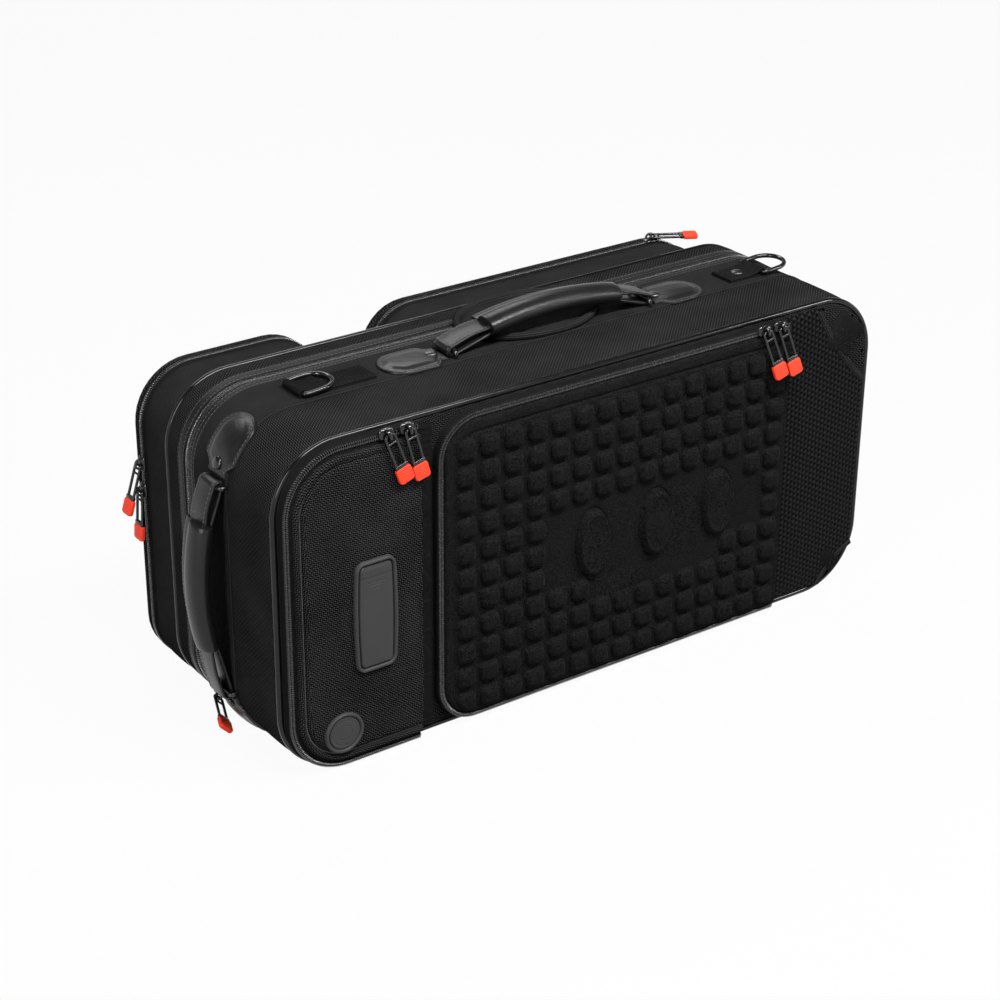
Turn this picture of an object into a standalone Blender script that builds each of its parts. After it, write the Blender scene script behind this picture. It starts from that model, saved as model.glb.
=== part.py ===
"""Soft trumpet case standing on its long side, lengths in metres, +Z up.

The back panel faces -Y. The origin is on the resting face, midway along the case and midway
between the front piping and the lid's rear wall.
"""

import math

import bmesh
import bpy
from mathutils import Matrix, Vector

# Case body
CASE_LENGTH = 0.580
CASE_HEIGHT = 0.2724
CORNER_RADIUS = 0.056
WALL = 0.009
LINING = 0.002
GAP = 0.0003
OVERRUN = 0.004
CORNER_STEPS = 6
CREASE = 35.0

# Strips round the body, measured from the front piping to the rear
CLOTH_WIDTH = 0.063
BAND_WIDTH = 0.049
BAND_THICKNESS = 0.0012
BASE_TRIM_WIDTH = 0.0077
LID_TRIM_WIDTH = 0.0100
LID_CLOTH_WIDTH = 0.0167
TRIM_THICKNESS = 0.0036
TRIM_SINK = 0.0003
COIL_RADIUS = 0.0018
COIL_OFFSET = 0.0022
COIL_SIDES = 6
PIPING_RADIUS = 0.0025
PIPING_SIDES = 8
ZIP_DEPTH = CLOTH_WIDTH + BAND_WIDTH + BASE_TRIM_WIDTH + GAP + COIL_RADIUS + COIL_OFFSET
LID_TRIM_DEPTH = ZIP_DEPTH + COIL_OFFSET + COIL_RADIUS + GAP
CASE_DEPTH = LID_TRIM_DEPTH + LID_TRIM_WIDTH + LID_CLOTH_WIDTH + 2 * PIPING_RADIUS

# Inside
BED_THICKNESS = 0.084
BELL_RADIUS = 0.060
BELL_THROAT_RADIUS = 0.013
BELL_LENGTH = 0.200
TUBE_WELL_LENGTH = 0.300
TUBE_WELL_WIDTH = 0.052
TUBE_WELL_DEPTH = 0.042
VALVE_WELL_LENGTH = 0.084
VALVE_WELL_WIDTH = 0.130
VALVE_WELL_DEPTH = 0.064
VALVE_WELL_X = 0.020
WELL_AXIS_HEIGHT = 0.176
ACCESSORY_WELL_LENGTH = 0.400
ACCESSORY_WELL_WIDTH = 0.060
ACCESSORY_WELL_DEPTH = 0.050
ACCESSORY_WELL_HEIGHT = 0.054
WELL_RADIUS = 0.008

# Top carrying handle, along X on the band
TOP_RIVET_SPACING = 0.2193
TOP_HANDLE_X = 0.0119
TOP_GRIP_LENGTH = 0.124
TOP_GRIP_RISE = 0.0225
TOP_GRIP_SHIFT = 0.0021
TOP_HANDLE_ON_BAND = 0.0190
TOP_HANDLE_LIFT_DEPTH = CLOTH_WIDTH + TOP_HANDLE_ON_BAND

# Side carrying handle, along Z on the left end
SIDE_RIVET_SPACING = 0.2025
SIDE_HANDLE_BELOW_MIDDLE = 0.0010
SIDE_HANDLE_Z = CASE_HEIGHT / 2 - SIDE_HANDLE_BELOW_MIDDLE
SIDE_GRIP_LENGTH = 0.101
SIDE_GRIP_RISE = 0.0235
SIDE_GRIP_SHIFT = 0.0070
SIDE_HANDLE_ON_BAND = 0.0135
SIDE_HANDLE_DEPTH = CLOTH_WIDTH + SIDE_HANDLE_ON_BAND

# What the two handles share
GRIP_WIDTH = 0.032
GRIP_THICKNESS = 0.0165
GRIP_SAG = 0.006
GRIP_OVAL_POWER = 0.75
GRIP_SIDES = 12
GRIP_STEPS = 8
STRAP_WIDTH = 0.022
STRAP_THICKNESS = 0.0024
STRAP_SLACK = 0.0016
STRAP_TAIL_SHARE = 0.30
STRAP_SAG_SHARE = 0.37
STRAP_EYE_START_DEGREES = -75.0
LOOP_WIRE_RADIUS = 0.0017
LOOP_HEIGHT = 0.0062
LOOP_INSET = 0.0146
LOOP_HALF_WIDTH = 0.0135
PATCH_THICKNESS = 0.0022
PATCH_DOME = 0.0022
PATCH_HALF_WIDTH = 0.0205
PATCH_TAB_HALF_WIDTH = 0.0120
PATCH_INNER_REACH = 0.0085
TOP_PATCH_OUTER_REACH = 0.0455
SIDE_PATCH_OUTER_REACH = 0.0420
PATCH_START_SHARE = 0.03
PATCH_ROUND_SHARE = 0.36
PATCH_NECK_SHARE = 0.74
PATCH_NECK_RUN_SHARE = 0.18
PATCH_DOME_END_SHARE = 0.87
PATCH_STEPS = 12
PATCH_ACROSS = 4
RIVET_RADIUS = 0.0052
RIVET_HEIGHT = 0.0016
RIVET_SINK = 0.0006
RIVET_TOP_SHARE = 0.75
RIVET_SIDES = 12

# Knuckle pad under the top handle
KNUCKLE_LENGTH = 0.128
KNUCKLE_WIDTH = 0.090
KNUCKLE_THICKNESS = 0.0040
KNUCKLE_RIM = 0.0060
KNUCKLE_RIM_SHOULDER = 0.0052
KNUCKLE_SEAM_HEIGHT = 0.0029
KNUCKLE_X = 0.0110
KNUCKLE_ON_BAND = 0.0445
KNUCKLE_DEPTH = CLOTH_WIDTH + KNUCKLE_ON_BAND
KNUCKLE_STEPS = 24

# D-rings and their webbing tabs
RING_WIRE_RADIUS = 0.0019
RING_WIDTH = 0.0340
RING_REACH = 0.0320
RING_ON_BAND = 0.0205
RING_DEPTH = CLOTH_WIDTH + RING_ON_BAND
RING_BAR_HEIGHT = 0.0037
RING_TILT = 4.0
RING_BOW_DEGREES = 75.0
TAB_WIDTH = 0.0250
TAB_THICKNESS = 0.0012
TAB_LEAD = 0.0064
TAB_WRAP_DEGREES = 100.0
TAB_RIGHT_BAR_X = 0.2290
TAB_RIGHT_LENGTH = 0.0340
TAB_LEFT_BAR_X = -0.2180
TAB_LEFT_LENGTH = 0.0640
TAB_RIVET_BACK = 0.0170

# Front left zipped pocket
POCKET_COVER_LEFT = -0.2796
POCKET_COVER_RIGHT = -0.1690
POCKET_COVER_BOTTOM = 0.0065
POCKET_COVER_BELOW_TOP = 0.0088
POCKET_COVER_TOP = CASE_HEIGHT - POCKET_COVER_BELOW_TOP
POCKET_COVER_RADIUS = 0.0450
POCKET_COVER_PROUD = 0.0115
POCKET_COVER_WALL = 0.0025
POCKET_COVER_EDGE = 0.0030
WINDOW_LENGTH = 0.093
WINDOW_WIDTH = 0.0385
WINDOW_THICKNESS = 0.0032
WINDOW_RIM = 0.0026
WINDOW_RECESS = 0.0014
WINDOW_CORNER = 0.0100
WINDOW_X = -0.2112
WINDOW_Z = 0.1265
BADGE_RADIUS = 0.017
BADGE_THICKNESS = 0.0024
BADGE_RIM = 0.0020
BADGE_X = -0.2410
BADGE_Z = 0.0340
BADGE_STEPS = 24

# Padded back panel
PAD_LEFT = -0.1462
PAD_RIGHT = 0.1910
PAD_BOTTOM = 0.0085
PAD_BELOW_TOP = 0.0124
PAD_TOP = CASE_HEIGHT - PAD_BELOW_TOP
PAD_RADIUS = 0.0300
PAD_PROUD = 0.0105
PAD_WALL = 0.0022
PAD_EDGE = 0.0030
CUSHION_SIZE = 0.0178
CUSHION_HEIGHT = 0.0048
CUSHION_PITCH_X = 0.0218
CUSHION_PITCH_Z = 0.0216
CUSHION_LEFT_MARGIN = 0.0085
CUSHION_TOP_MARGIN = 0.0130
CUSHION_FAR_MARGIN = 0.0040
CUSHION_TAPER = 0.0030
CHANNEL_CENTRE_X = 0.0560
CHANNEL_CENTRE_Z = 0.1260
CHANNEL_HALF_LENGTH = 0.1180
CHANNEL_HALF_WIDTH = 0.0460
LOZENGE_LENGTH = 0.056
LOZENGE_WIDTH = 0.030
LOZENGE_SHARES = (-0.54, 0.0, 0.54)

# Zip gussets round the two front covers, and the fold on which the covers turn
COVER_FOLD_PROUD = 0.0115
GUSSET_THICKNESS = 0.0052
GUSSET_HEIGHT = 0.0058
GUSSET_TIP = 0.0020

# Webbing column, mesh panel and straps on the front
COLUMN_LEFT = -0.1680
COLUMN_RIGHT = -0.1525
COLUMN_THICKNESS = 0.0024
COLUMN_MARGIN = 0.0080
FOLD_COUNT = 3
FOLD_HEIGHT = 0.0340
FOLD_THICKNESS = 0.0010
FOLD_WIDTH = 0.0100
MESH_LEFT = 0.1920
MESH_RIGHT = 0.2835
MESH_BOTTOM = 0.0060
MESH_BELOW_TOP = 0.0060
MESH_TOP = CASE_HEIGHT - MESH_BELOW_TOP
MESH_THICKNESS = 0.0026
MESH_TOP_CUT_X = 0.2290
MESH_TOP_CUT_RUN_Z = 0.0724
MESH_TOP_CUT_Z = MESH_TOP - MESH_TOP_CUT_RUN_Z
MESH_BOTTOM_CUT_X = 0.2480
MESH_BOTTOM_CUT_Z = 0.0360
MESH_CUT_BOW = 0.0040
STRAP_PAD_WIDTH = 0.062
STRAP_PAD_LENGTH = 0.228
STRAP_PAD_THICKNESS = 0.0045
STRAP_PAD_SPACING = 0.100
YOKE_HEIGHT = 0.050
STRAP_END_THICKNESS = 0.0040
STRAP_END_X = 0.2580
STRAP_END_BELOW_TOP = 0.0304
STRAP_END_Z = MESH_TOP - STRAP_END_BELOW_TOP
STRAP_END_WIDTH = 0.034
STRAP_END_LENGTH = 0.034
STRAP_END_DEGREES = 37.0
LOWER_END_X = 0.2580
LOWER_END_Z = 0.0280
LOWER_END_WIDTH = 0.016
LOWER_END_LENGTH = 0.028
LOWER_END_DEGREES = -41.0

# Rear pockets on the lid
REAR_POCKET_BOTTOM = 0.0050
REAR_POCKET_BELOW_TOP = 0.0074
REAR_POCKET_TOP = CASE_HEIGHT - REAR_POCKET_BELOW_TOP
REAR_WALL = 0.003
REAR_EDGE = 0.0140
REAR_EDGE_STEPS = 3
RIGHT_POCKET_LEFT = -0.0770
RIGHT_POCKET_RIGHT = 0.2580
RIGHT_POCKET_RADIUS = 0.0420
RIGHT_POCKET_ZIP = 0.0450
RIGHT_POCKET_DEPTH = 0.0680
LEFT_POCKET_LEFT = -0.2880
LEFT_POCKET_RIGHT = -0.1280
LEFT_POCKET_RADIUS = 0.0460
LEFT_POCKET_ZIP = 0.0400
LEFT_POCKET_DEPTH = 0.0580

# Zip sliders and their pulls
SLIDER_LENGTH = 0.0135
SLIDER_WIDTH = 0.0092
SLIDER_THICKNESS = 0.0028
SLIDER_EDGE = 0.0008
ARCH_RADIUS = 0.0040
ARCH_WIRE_RADIUS = 0.0010
ARCH_STEPS = 6
PULL_WIRE_RADIUS = 0.0011
PULL_WIDTH = 0.0104
PULL_LENGTH = 0.0285
PULL_BEND = 0.0018
PULL_LIFT = 0.0016
TIP_LENGTH = 0.0130
TIP_WIDTH = 0.0130
TIP_THICKNESS = 0.0038
TIP_EDGE = 0.0010

# Places of the sliders along their zips
POCKET_SLIDER_A_X = -0.1972
POCKET_SLIDER_B_X = -0.1796
PAD_SLIDER_A_X = 0.1625
PAD_SLIDER_B_X = 0.1788
POCKET_PULL_A_DRIFT_X = 0.0140
POCKET_PULL_B_DRIFT_X = 0.0095
PAD_PULL_A_DRIFT_X = 0.0112
PAD_PULL_B_DRIFT_X = 0.0100
FRONT_PULL_DROP_Z = 0.0400
POCKET_PULL_STAND_OFF = 0.0026
PAD_PULL_STAND_OFF = 0.0090
RIGHT_REAR_SLIDER_X = 0.2170
RIGHT_REAR_PULL_RUN_X = 0.0270
RIGHT_REAR_PULL_RUN_Y = 0.0150
LEFT_REAR_SLIDER_A_Z = 0.1880
LEFT_REAR_SLIDER_B_Z = 0.1650
LEFT_REAR_PULL_A_STAND_OFF = 0.0130
LEFT_REAR_PULL_B_STAND_OFF = 0.0030
MAIN_SLIDER_ANGLE = 225.0
MAIN_PULL_RUN_X = 0.0150
MAIN_PULL_RUN_Y = 0.0400
MAIN_PULL_DROP_Z = 0.0060

parts = None
cutters = None


# Scene and materials

def clear_scene():
    for item in list(bpy.data.objects):
        bpy.data.objects.remove(item, do_unlink=True)


def new_collection(name):
    collection = bpy.data.collections.new(name)
    bpy.context.scene.collection.children.link(collection)
    return collection


def finish(name, colour, roughness, metallic=0.0):
    material = bpy.data.materials.get(name)
    if material:
        return material
    material = bpy.data.materials.new(name)
    material.use_nodes = True
    shader = material.node_tree.nodes["Principled BSDF"]
    shader.inputs["Base Color"].default_value = (*colour, 1.0)
    shader.inputs["Roughness"].default_value = roughness
    shader.inputs["Metallic"].default_value = metallic
    return material


def ballistic_cloth():
    return finish("ballistic_cloth", (0.022, 0.022, 0.024), 0.75)


def canvas():
    return finish("canvas", (0.018, 0.018, 0.019), 0.85)


def velour():
    return finish("velour", (0.024, 0.024, 0.025), 0.95)


def leather():
    return finish("leather", (0.025, 0.025, 0.026), 0.38)


def vinyl():
    return finish("vinyl", (0.030, 0.030, 0.032), 0.25)


def zip_nylon():
    return finish("zip_nylon", (0.060, 0.060, 0.064), 0.45)


def air_mesh():
    return finish("air_mesh", (0.030, 0.030, 0.032), 0.80)


def plush():
    return finish("plush", (0.050, 0.050, 0.055), 0.95)


def black_metal():
    return finish("black_metal", (0.035, 0.035, 0.037), 0.25, 1.0)


def red_rubber():
    return finish("red_rubber", (0.800, 0.060, 0.020), 0.55)


def dark_plastic():
    return finish("dark_plastic", (0.050, 0.050, 0.053), 0.45)


# Objects

def depth(distance):
    """Y of a plane this far behind the front piping."""
    return distance - CASE_DEPTH / 2


def proud(distance):
    """Y of a plane this far in front of the front piping."""
    return -distance - CASE_DEPTH / 2


def place(name, mesh, material=None):
    item = bpy.data.objects.new(name, mesh)
    parts.objects.link(item)
    if material:
        mesh.materials.append(material)
    return item


def make_cutter(item):
    for collection in list(item.users_collection):
        collection.objects.unlink(item)
    cutters.objects.link(item)
    item.hide_render = True
    item.display_type = 'WIRE'
    return item


def combine(item, other, operation):
    modifier = item.modifiers.new(operation.lower(), 'BOOLEAN')
    modifier.operation = operation
    modifier.solver = 'EXACT'
    modifier.object = make_cutter(other)


def mesh_object(name, curve_item, material=None):
    """Turn a curve object into a mesh object with welded caps."""
    bpy.context.view_layer.update()
    graph = bpy.context.evaluated_depsgraph_get()
    mesh = bpy.data.meshes.new_from_object(curve_item.evaluated_get(graph))
    matrix = curve_item.matrix_world.copy()
    bpy.data.objects.remove(curve_item, do_unlink=True)
    work = bmesh.new()
    work.from_mesh(mesh)
    bmesh.ops.remove_doubles(work, verts=work.verts, dist=GAP / 10)
    work.to_mesh(mesh)
    work.free()
    mesh.name = name
    mesh.materials.clear()
    item = place(name, mesh, material)
    item.matrix_world = matrix
    return item


def axis_empty(name, point, carrier=None):
    """An empty on a joint's axis, which carries the pieces of one moving body."""
    empty = bpy.data.objects.new(name, None)
    parts.objects.link(empty)
    empty.matrix_world = Matrix.Translation(point)
    if carrier:
        attach(empty, carrier)
    return empty


def attach(item, carrier):
    """Parent a piece and leave it where it is."""
    item.parent = carrier
    item.matrix_parent_inverse = carrier.matrix_world.inverted()


def shade_round_pieces():
    """Smooth shading on everything, with creases left sharp."""
    for item in parts.objects:
        if item.type == 'MESH':
            item.data.shade_smooth()
            item.data.set_sharp_from_angle(angle=math.radians(CREASE))


# Rounded blocks and trays

def corner_edges(work, x_side, z_side):
    """The edge along Y at one corner of a block, the sides given as -1 or 1."""
    found = []
    for edge in work.edges:
        first, second = (vert.co for vert in edge.verts)
        along_y = abs(first.x - second.x) + abs(first.z - second.z) < GAP
        if along_y and first.x * x_side > 0 and first.z * z_side > 0:
            found.append(edge)
    return found


def block_mesh(size, radii, steps=CORNER_STEPS):
    """A block centred on zero with the edges along Y rounded: radii are left top, left bottom,
    right bottom and right top."""
    work = bmesh.new()
    bmesh.ops.create_cube(work, size=1.0, matrix=Matrix.Diagonal((*size, 1.0)))
    sides = ((-1, 1), (-1, -1), (1, -1), (1, 1))
    for radius, (x_side, z_side) in zip(radii, sides):
        if radius > 0:
            bmesh.ops.bevel(work, geom=corner_edges(work, x_side, z_side), offset=radius,
                            segments=steps, profile=0.5, affect='EDGES')
    return work


def bevel_rim(work, y, edge, steps):
    """Bevel the edges round the face that lies at this Y."""
    rim = [item for item in work.edges if all(abs(vert.co.y - y) < GAP for vert in item.verts)]
    bmesh.ops.bevel(work, geom=rim, offset=edge, segments=steps, profile=0.5, affect='EDGES')


def block(name, low, high, radii, material=None, steps=CORNER_STEPS, edge=0.0):
    """A rounded block between two corner points, with an optional chamfer round its -Y face."""
    low, high = Vector(low), Vector(high)
    work = block_mesh(high - low, radii, steps)
    if edge > 0:
        bevel_rim(work, (low.y - high.y) / 2, edge, 1)
    bmesh.ops.translate(work, verts=work.verts, vec=(low + high) / 2)
    mesh = bpy.data.meshes.new(name)
    work.to_mesh(mesh)
    work.free()
    return place(name, mesh, material)


def tray(name, low, high, radii, wall, edge, material, open_side=1, edge_steps=1, steps=CORNER_STEPS):
    """A rounded block hollowed from one Y side: open_side 1 opens to +Y, -1 to -Y."""
    low, high = Vector(low), Vector(high)
    size = high - low
    work = block_mesh(size, radii, steps)
    half = size.y / 2
    if edge > 0:
        bevel_rim(work, -open_side * half, edge, edge_steps)
    mouth = [face for face in work.faces
             if all(abs(vert.co.y - open_side * half) < GAP for vert in face.verts)]
    bmesh.ops.delete(work, geom=mouth, context='FACES')
    bmesh.ops.translate(work, verts=work.verts, vec=(low + high) / 2)
    mesh = bpy.data.meshes.new(name)
    work.to_mesh(mesh)
    work.free()
    item = place(name, mesh, material)
    shell = item.modifiers.new("wall", 'SOLIDIFY')
    shell.thickness = wall
    shell.offset = -1
    shell.use_even_offset = True
    return item


def case_corners(inset):
    """Low and high X, Z and the corner radius of the case outline, moved inwards."""
    half = CASE_LENGTH / 2 - inset
    return -half, half, inset, CASE_HEIGHT - inset, CORNER_RADIUS - inset


def case_tray(name, inset, y_low, y_high, wall, edge, material, open_side):
    x_low, x_high, z_low, z_high, radius = case_corners(inset)
    return tray(name, (x_low, y_low, z_low), (x_high, y_high, z_high), (radius,) * 4,
                wall, edge, material, open_side)


# Swept strips and tubes

def poly_curve(name, points, cyclic, dimensions='2D'):
    curve = bpy.data.curves.new(name, 'CURVE')
    curve.dimensions = dimensions
    spline = curve.splines.new('POLY')
    spline.points.add(len(points) - 1)
    for target, point in zip(spline.points, points):
        third = point[2] if len(point) > 2 else 0.0
        target.co = (point[0], point[1], third, 1.0)
    spline.use_cyclic_u = cyclic
    item = bpy.data.objects.new(name, curve)
    parts.objects.link(item)
    return item


def arc(centre, radius, start, stop, steps):
    """Points on an arc in degrees, both ends included."""
    points = []
    for index in range(steps + 1):
        angle = math.radians(start + (stop - start) * index / steps)
        points.append((centre[0] + radius * math.cos(angle), centre[1] + radius * math.sin(angle)))
    return points


def rounded_outline(x_low, x_high, z_low, z_high, radius, steps=CORNER_STEPS):
    """A closed rounded rectangle, counter-clockwise as seen from the front."""
    points = arc((x_high - radius, z_high - radius), radius, 0, 90, steps)
    points += arc((x_low + radius, z_high - radius), radius, 90, 180, steps)
    points += arc((x_low + radius, z_low + radius), radius, 180, 270, steps)
    points += arc((x_high - radius, z_low + radius), radius, 270, 360, steps)
    return points


def clockwise(profile):
    area = sum(profile[i - 1][0] * profile[i][1] - profile[i][0] * profile[i - 1][1]
               for i in range(len(profile)))
    return profile if area < 0 else profile[::-1]


def sweep(name, path, profile, cyclic, material):
    """Carry a profile of (inset, Y) points round a path in the X, Z plane."""
    guide = poly_curve(name + "_profile", clockwise([(inset, -y) for inset, y in profile]), True)
    route = poly_curve(name + "_path", path, cyclic)
    route.data.bevel_mode = 'OBJECT'
    route.data.bevel_object = guide
    route.data.use_fill_caps = not cyclic
    route.rotation_euler = (math.pi / 2, 0, 0)
    item = mesh_object(name, route, material)
    bpy.data.objects.remove(guide, do_unlink=True)
    return item


def case_ring(name, profile, material):
    path = rounded_outline(*case_corners(0.0))
    return sweep(name, path, profile, True, material)


def rectangle(inset_low, inset_high, y_low, y_high):
    return [(inset_low, y_low), (inset_high, y_low), (inset_high, y_high), (inset_low, y_high)]


def circle(inset, y, radius, sides):
    turn = 360.0 / sides
    return [point[:2] for point in arc((inset, y), radius, turn / 2, 360 - turn / 2, sides - 1)]


def tube(name, points, radius, cyclic, material):
    """A round wire through points in space."""
    wire = poly_curve(name, points, cyclic, '3D')
    wire.data.bevel_depth = radius
    wire.data.bevel_resolution = 1
    wire.data.use_fill_caps = not cyclic
    return mesh_object(name, wire, material)


def ribbon(name, points, width, thickness, matrix, material):
    """A flat strap whose side view is a line of (along, height) points; it is width wide."""
    band = poly_curve(name, points, False)
    band.data.extrude = width / 2
    item = mesh_object(name, band, material)
    item.matrix_world = matrix @ Matrix.Rotation(math.pi / 2, 4, 'X')
    layer = item.modifiers.new("layer", 'SOLIDIFY')
    layer.thickness = thickness
    layer.offset = 0
    layer.use_even_offset = True
    return item


# Case body

def chamfer():
    """Width of the edge chamfer on which the piping lies."""
    return 2 * PIPING_RADIUS + math.sqrt(2) * (PIPING_RADIUS + GAP)


def inner_chamfer(inset):
    """What is left of the chamfer on a skin this far inside the case."""
    return max(chamfer() - inset * (2 - math.sqrt(2)), 0.0)


def trim_recess():
    return TRIM_SINK + TRIM_THICKNESS + GAP


def build_base():
    shell = case_tray("base_shell", 0.0, depth(0), depth(ZIP_DEPTH - GAP), WALL, chamfer(),
                      ballistic_cloth(), 1)
    band_end = CLOTH_WIDTH + BAND_WIDTH
    combine(shell, case_ring("band_recess", rectangle(-OVERRUN, BAND_THICKNESS + GAP,
                                                      depth(CLOTH_WIDTH), depth(band_end)), None),
            'DIFFERENCE')
    combine(shell, case_ring("trim_recess", rectangle(-OVERRUN, trim_recess(), depth(band_end - GAP),
                                                      depth(ZIP_DEPTH + OVERRUN)), None), 'DIFFERENCE')
    lining_inset = WALL + GAP
    case_tray("base_lining", lining_inset, depth(lining_inset), depth(ZIP_DEPTH - GAP), LINING,
              inner_chamfer(lining_inset), plush(), 1)
    case_ring("front_piping", circle(PIPING_RADIUS, depth(PIPING_RADIUS), PIPING_RADIUS, PIPING_SIDES),
              vinyl())
    case_ring("handle_band", rectangle(0.0, BAND_THICKNESS, depth(CLOTH_WIDTH + GAP),
                                       depth(band_end - GAP)), canvas())
    trim_end = ZIP_DEPTH - COIL_OFFSET - COIL_RADIUS - GAP
    case_ring("base_zip_trim", rectangle(TRIM_SINK, TRIM_SINK + TRIM_THICKNESS, depth(band_end),
                                         depth(trim_end)), leather())
    case_ring("base_zip_coil", circle(TRIM_SINK + COIL_RADIUS, depth(ZIP_DEPTH - COIL_OFFSET),
                                      COIL_RADIUS, COIL_SIDES), zip_nylon())


def well(name, length, width, depth_, centre_x, centre_z):
    """A rounded pocket cut into the open face of the bed."""
    top = depth(WALL + LINING + 2 * GAP + BED_THICKNESS)
    return block(name, (centre_x - length / 2, top - depth_, centre_z - width / 2),
                 (centre_x + length / 2, top + OVERRUN, centre_z + width / 2), (WELL_RADIUS,) * 4, None, 2)


def build_bed():
    inset = WALL + LINING + 2 * GAP
    x_low, x_high, z_low, z_high, radius = case_corners(inset)
    top = depth(inset + BED_THICKNESS)
    bed = block("instrument_bed", (x_low, depth(inset), z_low), (x_high, top, z_high), (radius,) * 4,
                plush(), CORNER_STEPS, inner_chamfer(inset))
    work = bmesh.new()
    bell_x = x_low + WALL + BELL_LENGTH / 2
    turn = Matrix.Translation((bell_x, top, WELL_AXIS_HEIGHT)) @ Matrix.Rotation(math.pi / 2, 4, 'Y')
    bmesh.ops.create_cone(work, cap_ends=True, segments=16, radius1=BELL_RADIUS,
                          radius2=BELL_THROAT_RADIUS, depth=BELL_LENGTH, matrix=turn)
    mesh = bpy.data.meshes.new("bell_well")
    work.to_mesh(mesh)
    work.free()
    combine(bed, place("bell_well", mesh), 'DIFFERENCE')
    tube_x = bell_x + BELL_LENGTH / 2 + TUBE_WELL_LENGTH / 2 - WELL_RADIUS * 2
    combine(bed, well("tube_well", TUBE_WELL_LENGTH, TUBE_WELL_WIDTH, TUBE_WELL_DEPTH, tube_x,
                      WELL_AXIS_HEIGHT), 'DIFFERENCE')
    combine(bed, well("valve_well", VALVE_WELL_LENGTH, VALVE_WELL_WIDTH, VALVE_WELL_DEPTH, VALVE_WELL_X,
                      WELL_AXIS_HEIGHT), 'DIFFERENCE')
    combine(bed, well("accessory_well", ACCESSORY_WELL_LENGTH, ACCESSORY_WELL_WIDTH,
                      ACCESSORY_WELL_DEPTH, 0.0, ACCESSORY_WELL_HEIGHT), 'DIFFERENCE')


def build_lid():
    """Everything that swings with the lid, and the empty on its hinge line."""
    shell = case_tray("lid_shell", 0.0, depth(ZIP_DEPTH + GAP), depth(CASE_DEPTH), WALL, chamfer(),
                      ballistic_cloth(), -1)
    trim_end = LID_TRIM_DEPTH + LID_TRIM_WIDTH
    combine(shell, case_ring("lid_trim_recess", rectangle(-OVERRUN, trim_recess(),
                                                          depth(ZIP_DEPTH - OVERRUN),
                                                          depth(trim_end + GAP)), None), 'DIFFERENCE')
    lining_inset = WALL + GAP
    lining = case_tray("lid_lining", lining_inset, depth(ZIP_DEPTH + GAP),
                       depth(CASE_DEPTH - lining_inset), LINING, inner_chamfer(lining_inset), plush(), -1)
    piping = case_ring("lid_piping", circle(PIPING_RADIUS, depth(CASE_DEPTH - PIPING_RADIUS),
                                            PIPING_RADIUS, PIPING_SIDES), vinyl())
    trim = case_ring("lid_zip_trim", rectangle(TRIM_SINK, TRIM_SINK + TRIM_THICKNESS, depth(LID_TRIM_DEPTH),
                                               depth(trim_end)), leather())
    coil = case_ring("lid_zip_coil", circle(TRIM_SINK + COIL_RADIUS, depth(ZIP_DEPTH + COIL_OFFSET),
                                            COIL_RADIUS, COIL_SIDES), zip_nylon())
    hinge = axis_empty("lid_hinge", (0.0, depth(ZIP_DEPTH), 0.0))
    for item in (shell, lining, piping, trim, coil):
        attach(item, hinge)
    return hinge


def rear_pocket(side, left, right, radius, zip_depth, full_depth, lid_hinge):
    """A wall with a floor against the lid, and a shallow zipped cover that folds at its right edge."""
    floor, split = CASE_DEPTH + GAP, CASE_DEPTH + zip_depth
    wall = tray(side + "_pocket_wall", (left, depth(floor), REAR_POCKET_BOTTOM),
                (right, depth(split - GAP), REAR_POCKET_TOP), (radius,) * 4, REAR_WALL, 0.0, canvas(), 1)
    cover = tray(side + "_pocket_cover", (left, depth(split), REAR_POCKET_BOTTOM),
                 (right, depth(CASE_DEPTH + full_depth), REAR_POCKET_TOP), (radius,) * 4, REAR_WALL,
                 REAR_EDGE, ballistic_cloth(), -1, REAR_EDGE_STEPS)
    attach(wall, lid_hinge)
    hinge = axis_empty(side + "_pocket_cover_hinge", (right, depth(split), 0.0), lid_hinge)
    attach(cover, hinge)
    return hinge


def build_rear_pockets(lid_hinge):
    right = rear_pocket("right", RIGHT_POCKET_LEFT, RIGHT_POCKET_RIGHT, RIGHT_POCKET_RADIUS,
                        RIGHT_POCKET_ZIP, RIGHT_POCKET_DEPTH, lid_hinge)
    left = rear_pocket("left", LEFT_POCKET_LEFT, LEFT_POCKET_RIGHT, LEFT_POCKET_RADIUS,
                       LEFT_POCKET_ZIP, LEFT_POCKET_DEPTH, lid_hinge)
    return right, left


# Front covers

def build_front_pocket_cover():
    """The zipped cover with what is fixed to it, folding at its right edge."""
    cover = tray("front_pocket_cover", (POCKET_COVER_LEFT, proud(POCKET_COVER_PROUD), POCKET_COVER_BOTTOM),
                 (POCKET_COVER_RIGHT, proud(GAP), POCKET_COVER_TOP),
                 (POCKET_COVER_RADIUS, POCKET_COVER_RADIUS, 0.0, 0.0), POCKET_COVER_WALL,
                 POCKET_COVER_EDGE, ballistic_cloth(), 1, 2)
    hinge = axis_empty("front_pocket_cover_hinge", (POCKET_COVER_RIGHT, proud(COVER_FOLD_PROUD), 0.0))
    for item in (cover, build_card_window(), build_badge()):
        attach(item, hinge)
    return hinge


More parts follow.
